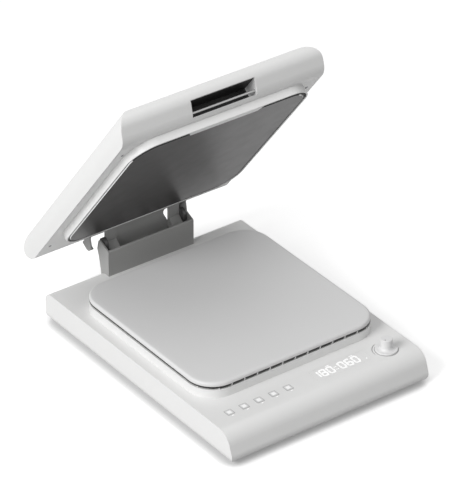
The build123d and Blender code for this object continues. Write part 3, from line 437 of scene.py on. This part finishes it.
def slot_finishes():
    """The finish of each material slot in the record."""
    s = bpy.context.scene.press_finish
    return {
        "shell": moulded("White shell", s.shell_color, s.shell_roughness, edge=s.edge_radius,
                         Coat_Weight=0.15, Coat_Roughness=0.25),
        "underside": moulded("Lid underside", s.underside_color, 0.42, edge=s.edge_radius),
        "heat_coating": heat_plate_finish(),
        "silicone": moulded("Silicone pad", s.pad_color, 0.55, grain_scale=500.0, grain_height=0.04 * MM),
        "bare_aluminium": metal("Brushed aluminium", (0.80, 0.80, 0.80), 0.35, stretch=(0.05, 1.0, 1.0)),
        "steel": metal("Ground steel", (0.62, 0.62, 0.62), 0.28, stretch=(1.0, 1.0, 0.1)),
        "spring_steel": metal("Spring wire", (0.38, 0.38, 0.38), 0.30),
        "bronze": metal("Sintered bronze", (0.60, 0.42, 0.24), 0.45),
        "gear_plastic": moulded("Gear plastic", (0.78, 0.75, 0.66), 0.45),
        "tower_grey": moulded("Tower paint", s.tower_color, 0.48, grain_scale=1200.0, edge=0.6 * MM),
        "arm_paint": moulded("Arm paint", s.tower_color, 0.42, edge=0.6 * MM),
        "bracket_black": moulded("Black bracket", (0.09, 0.09, 0.09), 0.45),
        "rubber_black": moulded("Black rubber", (0.02, 0.02, 0.02), 0.75, grain_height=0.05 * MM),
        "recess_black": recess_finish(),
        "grip_metal": metal("Satin grip", (0.45, 0.45, 0.45), 0.4, stretch=(0.05, 1.0, 1.0)),
        "board_green": moulded("Board mask", (0.02, 0.16, 0.07), 0.3),
        "module_black": moulded("Display body", (0.02, 0.02, 0.02), 0.5),
        "dark_window": moulded("Display window", s.shell_color, 0.33, mottle=0.01, change=0.02,
                               edge=0.2 * MM),
        "lit_key": moulded("Key cap", (0.62, 0.62, 0.62), 0.4, edge=0.2 * MM),
        "knob_metal": moulded("Knob paint", (0.75, 0.75, 0.75), 0.42, edge=0.4 * MM, Coat_Weight=0.05),
        "element_foil": metal("Element foil", (0.55, 0.42, 0.28), 0.35),
        "insulation": moulded("Insulation board", (0.75, 0.73, 0.66), 0.85, grain_height=0.2 * MM),
    }


# Mesh helpers

WELD_DISTANCE = 1e-7
UPRIGHT_LIMIT = 0.9
SAME_LEVEL = 1e-6
ARC_STEP = 5.0
BAR_END_SHARE = 0.3

# Parts of a screw, as shares of its head's radius
HEAD_RISE = 0.42
HEAD_ROUND = 0.3
SOCKET_RIM = 0.25
SOCKET_DEPTH = 0.3


def finished_piece(name, mesh_builder, material, body):
    """Turn a bmesh into a piece that rides on a body."""
    bm = bmesh.new()
    mesh_builder(bm)
    bmesh.ops.remove_doubles(bm, verts=bm.verts, dist=WELD_DISTANCE)
    bmesh.ops.recalc_face_normals(bm, faces=bm.faces)
    mesh = bpy.data.meshes.new(name)
    bm.to_mesh(mesh)
    bm.free()
    piece = bpy.data.objects.new(name, mesh)
    bpy.context.scene.collection.objects.link(piece)
    mesh.materials.append(material)
    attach(piece, body)
    return piece


def smooth(piece, angle=35.0):
    """Round shading, kept crisp over sharp edges."""
    mesh = piece.data
    mesh.polygons.foreach_set("use_smooth", [True] * len(mesh.polygons))
    mesh.set_sharp_from_angle(angle=math.radians(angle))


def opened(x, y, z):
    """A place on the shut lid, turned up with it."""
    return HINGE + LID_TURN @ (Vector((x, y, z)) - HINGE)


def upright_edges(edges):
    """The edges that stand up."""
    return [e for e in edges if abs((e.verts[0].co - e.verts[1].co).normalized().z) > UPRIGHT_LIMIT]


def round_edges(bm, edges, radius, steps):
    """Bevel edges to a round."""
    bmesh.ops.bevel(bm, geom=edges, offset=radius, affect="EDGES", segments=steps, profile=0.5, material=-1)


def raise_flat(bm, verts, height, at):
    """Give a flat outline its thickness and put it in place."""
    faces = list({face for v in verts for face in v.link_faces})
    grown = bmesh.ops.extrude_face_region(bm, geom=faces)
    top = [g for g in grown["geom"] if isinstance(g, bmesh.types.BMVert)]
    bmesh.ops.translate(bm, verts=top, vec=(0, 0, height))
    bmesh.ops.translate(bm, verts=list(set(verts) | set(top)), vec=at)


def add_bar(bm, length, width, height, at, turn=0.0):
    """A flat bar of a lit digit: a hexagon drawn out to its length, wider at its right end."""
    radius = width / 2 / math.sin(math.pi / 3)
    verts = bmesh.ops.create_circle(bm, cap_ends=True, segments=6, radius=radius)["verts"]
    for v in verts:
        v.co.x = math.copysign(length / 2 - width * BAR_END_SHARE, v.co.x)
    bmesh.ops.rotate(bm, verts=verts, cent=(0, 0, 0), matrix=Matrix.Rotation(turn, 3, "Z"))
    raise_flat(bm, verts, height, at)


def add_arc(bm, middle, radius, width, start, end, height):
    """A thin raised line along an arc, given in degrees; 360 degrees close into a ring."""
    before = set(bm.verts)
    line = [bm.verts.new((radius + side * width / 2, 0.0, 0.0)) for side in (-1, 1)]
    edge = bm.edges.new(line)
    bmesh.ops.rotate(bm, verts=line, cent=(0, 0, 0), matrix=Matrix.Rotation(math.radians(start), 3, "Z"))
    bmesh.ops.spin(bm, geom=[*line, edge], cent=(0, 0, 0), axis=(0, 0, 1), angle=math.radians(end - start),
                   steps=int((end - start) / ARC_STEP), use_merge=end - start >= 360.0)
    raise_flat(bm, [v for v in bm.verts if v not in before], height, middle)


def add_box(bm, size, at, corner=0.0):
    """A small block standing on its place, with its upright edges rounded."""
    verts = bmesh.ops.create_cube(bm, size=1.0)["verts"]
    bmesh.ops.scale(bm, verts=verts, vec=size)
    bmesh.ops.translate(bm, verts=verts, vec=Vector(at) + Vector((0, 0, size[2] / 2)))
    if corner > 0:
        round_edges(bm, upright_edges({e for v in verts for e in v.link_edges}), corner, steps=4)


def add_screw(bm, head_radius, at, direction):
    """A pan-head screw with a round socket, its head facing along a direction."""
    before = set(bm.verts)
    ring = bmesh.ops.create_circle(bm, cap_ends=True, segments=24, radius=head_radius)
    rise = head_radius * HEAD_RISE
    raise_flat(bm, ring["verts"], rise, (0, 0, 0))
    rim = [e for e in bm.edges if all(v not in before and v.co.z > rise - SAME_LEVEL for v in e.verts)]
    round_edges(bm, rim, head_radius * HEAD_ROUND, steps=3)
    faces = (f for f in bm.faces if f.verts[0] not in before)
    cap = max(faces, key=lambda f: (f.calc_center_median().z, f.calc_area()))
    bmesh.ops.inset_region(bm, faces=[cap], thickness=head_radius * SOCKET_RIM, use_even_offset=True)
    bmesh.ops.translate(bm, verts=list(cap.verts), vec=(0, 0, -head_radius * SOCKET_DEPTH))
    verts = [v for v in bm.verts if v not in before]
    turn = Vector((0, 0, 1)).rotation_difference(Vector(direction)).to_matrix()
    bmesh.ops.rotate(bm, verts=verts, cent=(0, 0, 0), matrix=turn)
    bmesh.ops.translate(bm, verts=verts, vec=at)


# Display

SEGMENTS = {0: "abcdef", 1: "bc", 2: "abged", 3: "abgcd", 4: "fgbc", 5: "afgcd", 6: "afgedc", 7: "abc",
            8: "abcdefg", 9: "abcdfg"}
UPRIGHT_SEGMENTS = "bcef"
SEGMENT_SHORTENING = 0.75
COLON_DOT = 2.0 * MM
COLON_BEFORE_NUMBER = 7.0 * MM
COLON_HALF_SPREAD = 1.8 * MM
COLON_ROWS = (0.26, 0.62)
DASH_LENGTH = 8.0 * MM
DASH_WIDTH = 1.4 * MM
DASH_PAST_LEFT = 40.0 * MM
DASH_PAST_RIGHT = 36.0 * MM
DASH_FROM_TOP = 2.2 * MM
MARK_CORNER = 0.4 * MM
DOT_SIDE = 2.6 * MM
DOT_CORNER = 1.1 * MM
DOT_X = 122.0 * MM
DOT_RISE = 2.0 * MM


def add_digit(bm, digit, x, y, z, settings):
    """One seven-segment digit with its lower left corner at x, y."""
    w, h, stroke = settings.digit_width, settings.digit_height, settings.stroke
    across, along = w - stroke * SEGMENT_SHORTENING, (h - stroke * SEGMENT_SHORTENING) / 2
    left, middle, right = x + stroke / 2, x + w / 2, x + w - stroke / 2
    upper, lower = y + h * 0.75 - stroke / 4, y + h * 0.25 + stroke / 4
    places = {
        "a": (middle, y + h - stroke / 2), "g": (middle, y + h / 2), "d": (middle, y + stroke / 2),
        "b": (right, upper), "c": (right, lower), "f": (left, upper), "e": (left, lower),
    }
    for name in SEGMENTS[digit]:
        if name in UPRIGHT_SEGMENTS:
            add_bar(bm, along, stroke, MARK_HEIGHT, (*places[name], z), math.pi / 2)
        else:
            add_bar(bm, across, stroke, MARK_HEIGHT, (*places[name], z))


class HEATPRESS_OT_display(bpy.types.Operator):
    """Lit digits and small marks of the display, a film thick on the deck"""
    bl_idname = "heatpress.display"
    bl_label = "Display"

    def execute(self, context):
        settings = context.scene.press_display
        low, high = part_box("display_window")
        z = high[2]
        y = (low[1] + high[1]) / 2 - settings.digit_height / 2

        def digits(bm):
            for start, number in ((settings.left_start, settings.temperature),
                                  (settings.right_start, settings.seconds)):
                for index, char in enumerate(f"{number:03d}"):
                    add_digit(bm, int(char), start + index * settings.digit_pitch, y, z, settings)

        def marks(bm):
            colon = settings.right_start - COLON_BEFORE_NUMBER
            for row in COLON_ROWS:
                for side in (-1, 1):
                    place = (colon + side * COLON_HALF_SPREAD, y + settings.digit_height * row, z)
                    add_box(bm, (COLON_DOT, COLON_DOT, MARK_HEIGHT), place, MARK_CORNER)
            for start in (settings.left_start + DASH_PAST_LEFT, settings.right_start + DASH_PAST_RIGHT):
                add_box(bm, (DASH_LENGTH, DASH_WIDTH, MARK_HEIGHT), (start, high[1] - DASH_FROM_TOP, z),
                        MARK_CORNER)
            add_box(bm, (DOT_SIDE, DOT_SIDE, MARK_HEIGHT), (DOT_X, y + DOT_RISE, z), DOT_CORNER)

        finished_piece("display_digits", digits, lit_mark_finish(), "base")
        finished_piece("display_marks", marks, lit_mark_finish(), "base")
        return {"FINISHED"}


# Keys

KEY_COUNT = sum(name.startswith("key_") for name in JOINTS)
KEY_FILM = 0.04 * MM
KEY_CORNER_SHARE = 0.09
KEY_RIM = 15.0 * MM
KEY_FACE = 13.7 * MM
KEY_HALO = 9.6 * MM
KEY_LIGHT = 7.0 * MM
KEY_DASH = (4.4 * MM, 1.4 * MM, MARK_HEIGHT)
KEY_DASH_CORNER = 0.5 * MM
KEY_DASH_AHEAD = 10.8 * MM


def key_plate(side, x, y, z):
    """A builder of one thin square plate on a key, with rounded corners."""
    def build(bm):
        add_box(bm, (side, side, KEY_FILM), (x, y, z), side * KEY_CORNER_SHARE)
    return build


class HEATPRESS_OT_keys(bpy.types.Operator):
    """Outline, face, halo and light of each push button, and the lit dash in front of it"""
    bl_idname = "heatpress.keys"
    bl_label = "Keys"

    def execute(self, context):
        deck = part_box("display_window")[1][2]
        for index in range(KEY_COUNT):
            low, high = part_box(f"button_{index + 1}")
            x, y, z = (low[0] + high[0]) / 2, (low[1] + high[1]) / 2, high[2]
            body = f"key_{index + 1}"
            layers = (
                ("rim", KEY_RIM, moulded("Key outline", (0.36, 0.36, 0.36), 0.4, edge=0.1 * MM)),
                ("face", KEY_FACE, moulded("Key face", (0.66, 0.66, 0.66), 0.38, edge=0.1 * MM)),
                ("halo", KEY_HALO, lit_mark_finish("Key halo", 0.06, 0.76)),
                ("light", KEY_LIGHT, lit_mark_finish("Key light", 0.16, 0.84)),
            )
            for level, (label, side, material) in enumerate(layers):
                finished_piece(f"key_{label}_{index + 1}", key_plate(side, x, y, z + level * KEY_FILM),
                               material, body)
            finished_piece(
                f"key_dash_{index + 1}",
                lambda bm: add_box(bm, KEY_DASH, (x, y - KEY_DASH_AHEAD, deck), KEY_DASH_CORNER),
                lit_mark_finish(), "base")
        return {"FINISHED"}


# Knob

# Painted shade in the gap between the knob's skirt and the deck, and in the dial groove
GAP_SHADE_RADIUS = 21.9 * MM
GAP_SHADE_WIDTH = 0.7 * MM
DIAL_RADIUS = 26.0 * MM
DIAL_WIDTH = 1.1 * MM
DIAL_START = 106.0
DIAL_END = 182.0
DIAL_GROOVE = 0.6 * MM
POINTER_RADIUS = 1.2 * MM
POINTER_HEIGHT = 0.08 * MM
POINTER_OFFSET = Vector((-5.5 * MM, -3.2 * MM, 0.0))


class HEATPRESS_OT_knob(bpy.types.Operator):
    """Pointer dot on the knob's top, and painted shade: a dark line in the gap round its skirt and a dark
    arc in the dial groove
    """
    bl_idname = "heatpress.knob"
    bl_label = "Knob marks"

    def execute(self, context):
        low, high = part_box("control_knob")
        middle = (low + high) / 2
        top = Vector((middle.x, middle.y, high.z))
        foot = Vector((middle.x, middle.y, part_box("display_window")[1][2]))
        groove = foot - Vector((0, 0, DIAL_GROOVE))

        def pointer(bm):
            ring = bmesh.ops.create_circle(bm, cap_ends=True, segments=32, radius=POINTER_RADIUS)
            raise_flat(bm, ring["verts"], POINTER_HEIGHT, top + POINTER_OFFSET)

        def gap_shade_ring(bm):
            add_arc(bm, foot, GAP_SHADE_RADIUS, GAP_SHADE_WIDTH, 0.0, 360.0, MARK_HEIGHT)

        def dial_groove_shade(bm):
            add_arc(bm, groove, DIAL_RADIUS, DIAL_WIDTH, DIAL_START, DIAL_END, MARK_HEIGHT)

        # Painted shade: the dark ring and arc stand for the shade in the gap round the knob's skirt and in
        # the dial groove
        line = moulded("Ring line", (0.20, 0.20, 0.20), 0.5)
        dot = moulded("Pointer dot", (0.25, 0.25, 0.25), 0.4)
        finished_piece("knob_dial_groove_shade", dial_groove_shade, line, "base")
        finished_piece("knob_gap_shade_ring", gap_shade_ring, line, "base")
        finished_piece("knob_pointer", pointer, dot, "knob")
        return {"FINISHED"}


# Pressing pad

PAD_CORNER = 52.0 * MM
PAD_LIP = 5.0 * MM
PAD_FOOT_LIP = 0.8 * MM
PAD_RINGS = (8.0 * MM, 12.0 * MM, 16.0 * MM)
PAD_CROWN = 0.3 * MM
TAB_COUNT = 11
TAB_PITCH = 28.0 * MM
TAB_WIDTH = 2.0 * MM
TAB_THICKNESS = 0.8 * MM


class HEATPRESS_OT_pressing_pad(bpy.types.Operator):
    """Soft silicone pad with rounded lips and a slight crown, and the light tabs on the plate's edge"""
    bl_idname = "heatpress.pressing_pad"
    bl_label = "Pressing pad"

    def execute(self, context):
        low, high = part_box("pressing_pad")
        edge_low, edge_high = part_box("platen_plate")

        def pad(bm):
            verts = bmesh.ops.create_cube(bm, size=1.0)["verts"]
            bmesh.ops.scale(bm, verts=verts, vec=high - low)
            bmesh.ops.translate(bm, verts=verts, vec=(low + high) / 2)
            round_edges(bm, upright_edges(bm.edges), PAD_CORNER, steps=14)
            for level, radius in ((high[2], PAD_LIP), (low[2], PAD_FOOT_LIP)):
                rim = [e for e in bm.edges if all(abs(v.co.z - level) < SAME_LEVEL for v in e.verts)]
                round_edges(bm, rim, radius, steps=5)
            face = max(bm.faces, key=lambda f: f.calc_area() * (f.normal.z > UPRIGHT_LIMIT))
            for inset in PAD_RINGS:
                bmesh.ops.inset_region(bm, faces=[face], thickness=inset, use_even_offset=True)
            bmesh.ops.translate(bm, verts=list(face.verts), vec=(0, 0, PAD_CROWN))

        def tabs(bm):
            size = (TAB_WIDTH, TAB_THICKNESS, edge_high[2] - edge_low[2])
            for index in range(TAB_COUNT):
                x = (index - (TAB_COUNT - 1) / 2) * TAB_PITCH
                for y in (edge_low[1], edge_high[1]):
                    add_box(bm, size, (x, y, edge_low[2]))

        piece = finished_piece("pressing_pad_soft", pad, slot_finishes()["silicone"], "platen")
        smooth(piece, angle=50.0)
        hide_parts("pressing_pad")
        finished_piece("pad_tabs", tabs, slot_finishes()["shell"], "platen")
        return {"FINISHED"}


# Seal round the heat plate, placed with the lid drawn shut

SEAL_FRONT = -176.0 * MM
SEAL_CORNER = 49.0 * MM
SEAL_TAB_HALF = 84.0 * MM
SEAL_LIP_INSET = 2.2 * MM
SEAL_LIP_WIDTH = 3.8 * MM
SEAL_LIP_LEVEL = 127.5 * MM
SEAL_LIP_HEIGHT = 3.0 * MM
SEAL_TOE_SHARE = 0.2
SEAL_TURN = 70.0
SEAL_STEPS = 14


def lip_section():
    """The lip's outline: distance out from its middle line, and level."""
    half, foot = SEAL_LIP_WIDTH / 2, SEAL_LIP_LEVEL
    roof, waist, toe = foot + SEAL_LIP_HEIGHT, foot + half, foot + half * SEAL_TOE_SHARE
    return [(-half, roof), (-half, waist), (-half / 2, toe), (0.0, foot), (half / 2, toe), (half, waist),
            (half, roof)]


class HEATPRESS_OT_seal_lip(bpy.types.Operator):
    """Soft lip of the black seal, standing out of the gap at the heat plate's front: partly the seal's own
    black rubber, partly painted shade that makes the front gap read dark
    """
    bl_idname = "heatpress.seal_lip"
    bl_label = "Seal lip"

    def execute(self, context):
        low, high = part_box("plate_seal")
        corner_x = (high[0] - low[0]) / 2 - SEAL_CORNER

        def lip(bm):
            for side in (-1, 1):
                start = [bm.verts.new((side * SEAL_TAB_HALF, SEAL_FRONT + SEAL_LIP_INSET - out, z))
                         for out, z in lip_section()]
                run = bmesh.ops.extrude_face_region(bm, geom=[bm.faces.new(start)])["geom"]
                verts = [g for g in run if isinstance(g, bmesh.types.BMVert)]
                inner = [g for g in run if isinstance(g, bmesh.types.BMFace)]
                bmesh.ops.translate(bm, verts=verts, vec=(side * (corner_x - SEAL_TAB_HALF), 0, 0))
                bmesh.ops.spin(bm, geom=inner, cent=(side * corner_x, SEAL_FRONT + SEAL_CORNER, 0),
                               axis=(0, 0, 1), angle=side * math.radians(SEAL_TURN), steps=SEAL_STEPS)
                # The face that the spin starts from stays inside the lip, where nothing needs it
                bmesh.ops.delete(bm, geom=inner, context="FACES_ONLY")
            for v in bm.verts:
                v.co = opened(*v.co)

        # Painted shade: the black lip fills the front gap where the gap's shade shows as a dark band
        smooth(finished_piece("seal_lip", lip, slot_finishes()["rubber_black"], "lid"))
        return {"FINISHED"}


# Fasteners; the lid's screws are placed with the lid drawn shut

PAN_SCREW_RADIUS = 2.6 * MM
PAN_SCREW_X = 206.0 * MM
PAN_SCREW_ROWS = (-210.0 * MM, 20.0 * MM, 250.0 * MM)
PAN_SCREW_RECESS = 2.2 * MM
LID_SCREW_RADIUS = 2.8 * MM
LID_SCREW_X = 202.0 * MM
LID_SCREW_ROWS = (249.5 * MM, -140.5 * MM)
LID_SCREW_LEVEL = 144.6 * MM
FLANGE_SCREW_RADIUS = 2.4 * MM
FLANGE_SCREW_PLACES = (-91.0 * MM, -36.0 * MM, 36.0 * MM, 91.0 * MM)
FLANGE_SCREW_ROW = 262.0 * MM
FLANGE_SCREW_LEVEL = 142.6 * MM
HEAD_SINK = 0.2 * MM


class HEATPRESS_OT_fasteners(bpy.types.Operator):
    """Screws of the base pan, the lid panel and the hinge flange"""
    bl_idname = "heatpress.fasteners"
    bl_label = "Fasteners"

    def execute(self, context):
        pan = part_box("base_pan")[0][2]

        def pan_screws(bm):
            for x in (-PAN_SCREW_X, PAN_SCREW_X):
                for y in PAN_SCREW_ROWS:
                    add_screw(bm, PAN_SCREW_RADIUS, (x, y, pan + PAN_SCREW_RECESS), (0, 0, -1))

        def add_lid_screw(bm, radius, x, y, z):
            add_screw(bm, radius, opened(x, y, z) - LID_DOWN * HEAD_SINK, LID_DOWN)

        def lid_screws(bm):
            for x in (-LID_SCREW_X, LID_SCREW_X):
                for y in LID_SCREW_ROWS:
                    add_lid_screw(bm, LID_SCREW_RADIUS, x, y, LID_SCREW_LEVEL)

        def flange_screws(bm):
            for x in FLANGE_SCREW_PLACES:
                add_lid_screw(bm, FLANGE_SCREW_RADIUS, x, FLANGE_SCREW_ROW, FLANGE_SCREW_LEVEL)

        steel = metal("Screw steel", (0.22, 0.22, 0.23), 0.38)
        for name, builder, body in (("pan_screws", pan_screws, "base"), ("lid_screws", lid_screws, "lid"),
                                    ("flange_screws", flange_screws, "lid")):
            smooth(finished_piece(name, builder, steel, body))
        return {"FINISHED"}


# Finishes on the CAD nodes

class HEATPRESS_OT_finishes(bpy.types.Operator):
    """Give every CAD piece the finish of its slot, and the platen plate a black one, which is painted shade
    in the gap between the pad and the plinth
    """
    bl_idname = "heatpress.finishes"
    bl_label = "Finishes"

    def execute(self, context):
        finishes = slot_finishes()
        # Painted shade: the platen plate is made black so that the gap between pad and plinth reads dark
        gap_shade_override = {"platen_plate": moulded("Black anodised plate", (0.015, 0.015, 0.015), 0.6)}
        for part in RECORD["subparts"]:
            node = NODES[part["node"]]
            material = gap_shade_override.get(part["node"], finishes[part["material_slot"]])
            if node.data.materials:
                for index in range(len(node.data.materials)):
                    node.data.materials[index] = material
            else:
                node.data.materials.append(material)
        return {"FINISHED"}


# Stage, in metres

FLOOR_WHITE_START = 0.36
FLOOR_WHITE_END = 0.80
FLOOR_TONE = 0.94
FLOOR_BOUNCE = (0.42, 0.42, 0.42, 1.0)
FLOOR_GLOW_NEAR = 0.44
FLOOR_GLOW_GAIN = 0.60
# Painted contact shade on the floor from ambient occlusion: its reach, samples and how dark it gets
NOOK_REACH = 0.034
NOOK_SAMPLES = 12
NOOK_CLOSED = 0.40
NOOK_OPEN = 0.98
NOOK_SHADE = 0.50
SIDE_LAMP = {"place": (-5.25, -0.84, 3.70), "target": (0.0, 0.0, 0.15), "size": 3.0}
TOP_LAMP = {"place": (0.2, 0.4, 3.0), "target": (0.0, 0.0, 0.0), "size": 2.2}
SENSOR_WIDTH = 36.0
CAMERA_REACH = 100.0


def floor_finish():
    """White floor that keeps the object's lamp shadow near it, darkened further by painted contact shade
    from ambient occlusion, and turns plain white further out.
    """
    made = bpy.data.materials.new("Stage floor")
    made.use_nodes = True
    tree = made.node_tree
    tree.nodes.clear()
    out = tree.nodes.new("ShaderNodeOutputMaterial")
    reach = tree.nodes.new("ShaderNodeVectorMath")
    reach.operation = "LENGTH"
    tree.links.new(tree.nodes.new("ShaderNodeTexCoord").outputs["Object"], reach.inputs[0])
    far = eased(tree, reach.outputs["Value"], FLOOR_WHITE_START, FLOOR_WHITE_END)
    near = math_node(tree, "SUBTRACT", 1.0, far)

    # Painted shade: ambient occlusion darkens the floor's colour and glow where the object stands close
    nook = tree.nodes.new("ShaderNodeAmbientOcclusion")
    nook.samples = NOOK_SAMPLES
    nook.inputs["Distance"].default_value = NOOK_REACH
    shade = eased(tree, nook.outputs["AO"], NOOK_CLOSED, NOOK_OPEN, low=NOOK_SHADE)

    diffuse = tree.nodes.new("ShaderNodeBsdfDiffuse")
    grey = tree.nodes.new("ShaderNodeCombineColor")
    tone = math_node(tree, "MULTIPLY", math_node(tree, "MULTIPLY", shade, FLOOR_TONE), near)
    for key in ("Red", "Green", "Blue"):
        tree.links.new(tone, grey.inputs[key])
    tree.links.new(grey.outputs["Color"], diffuse.inputs["Color"])
    lift = tree.nodes.new("ShaderNodeEmission")
    white = math_node(tree, "ADD", math_node(tree, "MULTIPLY", far, FLOOR_GLOW_GAIN), FLOOR_GLOW_NEAR)
    tree.links.new(math_node(tree, "MULTIPLY", white, shade), lift.inputs["Strength"])
    both = tree.nodes.new("ShaderNodeAddShader")
    tree.links.new(diffuse.outputs[0], both.inputs[0])
    tree.links.new(lift.outputs[0], both.inputs[1])

    plain = tree.nodes.new("ShaderNodeBsdfDiffuse")
    plain.inputs["Color"].default_value = FLOOR_BOUNCE
    mix = tree.nodes.new("ShaderNodeMixShader")
    tree.links.new(seen_rays(tree), mix.inputs[0])
    tree.links.new(plain.outputs[0], mix.inputs[1])
    tree.links.new(both.outputs[0], mix.inputs[2])
    tree.links.new(mix.outputs[0], out.inputs["Surface"])
    return made


def area_light(name, power, place, target, size):
    """A soft square lamp aimed at a point."""
    data = bpy.data.lights.new(name, "AREA")
    data.shape = "SQUARE"
    data.size = size
    data.energy = power
    lamp = bpy.data.objects.new(name, data)
    bpy.context.scene.collection.objects.link(lamp)
    lamp.location = place
    lamp.rotation_euler = (Vector(target) - Vector(place)).to_track_quat("-Z", "Y").to_euler()
    return lamp


class HEATPRESS_OT_stage(bpy.types.Operator):
    """White floor, even sky, two soft lamps and the camera"""
    bl_idname = "heatpress.stage"
    bl_label = "Stage"

    def execute(self, context):
        scene = context.scene
        settings = scene.press_stage
        bm = bmesh.new()
        bmesh.ops.create_grid(bm, x_segments=1, y_segments=1, size=settings.floor_size / 2)
        mesh = bpy.data.meshes.new("stage_floor")
        bm.to_mesh(mesh)
        bm.free()
        floor = bpy.data.objects.new("stage_floor", mesh)
        scene.collection.objects.link(floor)
        mesh.materials.append(floor_finish())

        world = bpy.data.worlds.new("Even sky")
        scene.world = world
        world.use_nodes = True
        tree = world.node_tree
        background = tree.nodes["Background"]
        gain = math_node(tree, "MULTIPLY", seen_rays(tree), 1.0 - settings.sky)
        tree.links.new(math_node(tree, "ADD", gain, settings.sky), background.inputs["Strength"])
        background.inputs["Color"].default_value = (1.0, 1.0, 1.0, 1.0)

        area_light("side_light", settings.side_power, **SIDE_LAMP)
        area_light("top_light", settings.top_power, **TOP_LAMP)

        data = bpy.data.cameras.new("photo_camera")
        camera = bpy.data.objects.new("photo_camera", data)
        scene.collection.objects.link(camera)
        camera.location = settings.camera_place
        camera.rotation_euler = Vector(settings.camera_aim).to_track_quat("-Z", "Y").to_euler()
        data.sensor_width = SENSOR_WIDTH
        data.lens = settings.lens
        data.clip_end = CAMERA_REACH
        scene.camera = camera
        scene.view_settings.view_transform = "Standard"
        return {"FINISHED"}


# Panel and registration

class HEATPRESS_PT_panel(bpy.types.Panel):
    bl_label = "Heat Press"
    bl_idname = "HEATPRESS_PT_panel"
    bl_space_type = "VIEW_3D"
    bl_region_type = "UI"
    bl_category = "Heat Press"

    def draw(self, context):
        for group in (context.scene.press_finish, context.scene.press_display, context.scene.press_stage):
            box = self.layout.box()
            for key in group.__annotations__:
                box.prop(group, key)
        for operator in OPERATORS:
            self.layout.operator(operator.bl_idname)


OPERATORS = (
    HEATPRESS_OT_stage,
    HEATPRESS_OT_finishes,
    HEATPRESS_OT_pressing_pad,
    HEATPRESS_OT_keys,
    HEATPRESS_OT_display,
    HEATPRESS_OT_knob,
    HEATPRESS_OT_seal_lip,
    HEATPRESS_OT_fasteners,
)
SETTINGS = {
    "press_finish": PressFinishSettings,
    "press_display": PressDisplaySettings,
    "press_stage": PressStageSettings,
}


def register():
    for name, group in SETTINGS.items():
        bpy.utils.register_class(group)
        setattr(bpy.types.Scene, name, bpy.props.PointerProperty(type=group))
    for operator in OPERATORS:
        bpy.utils.register_class(operator)
    bpy.utils.register_class(HEATPRESS_PT_panel)


def unregister():
    bpy.utils.unregister_class(HEATPRESS_PT_panel)
    for operator in reversed(OPERATORS):
        bpy.utils.unregister_class(operator)
    for name, group in SETTINGS.items():
        delattr(bpy.types.Scene, name)
        bpy.utils.unregister_class(group)


def main():
    register()
    bpy.ops.heatpress.stage()
    bpy.ops.heatpress.finishes()
    bpy.ops.heatpress.pressing_pad()
    bpy.ops.heatpress.keys()
    bpy.ops.heatpress.display()
    bpy.ops.heatpress.knob()
    bpy.ops.heatpress.seal_lip()
    bpy.ops.heatpress.fasteners()


if __name__ == "__main__":
    main()
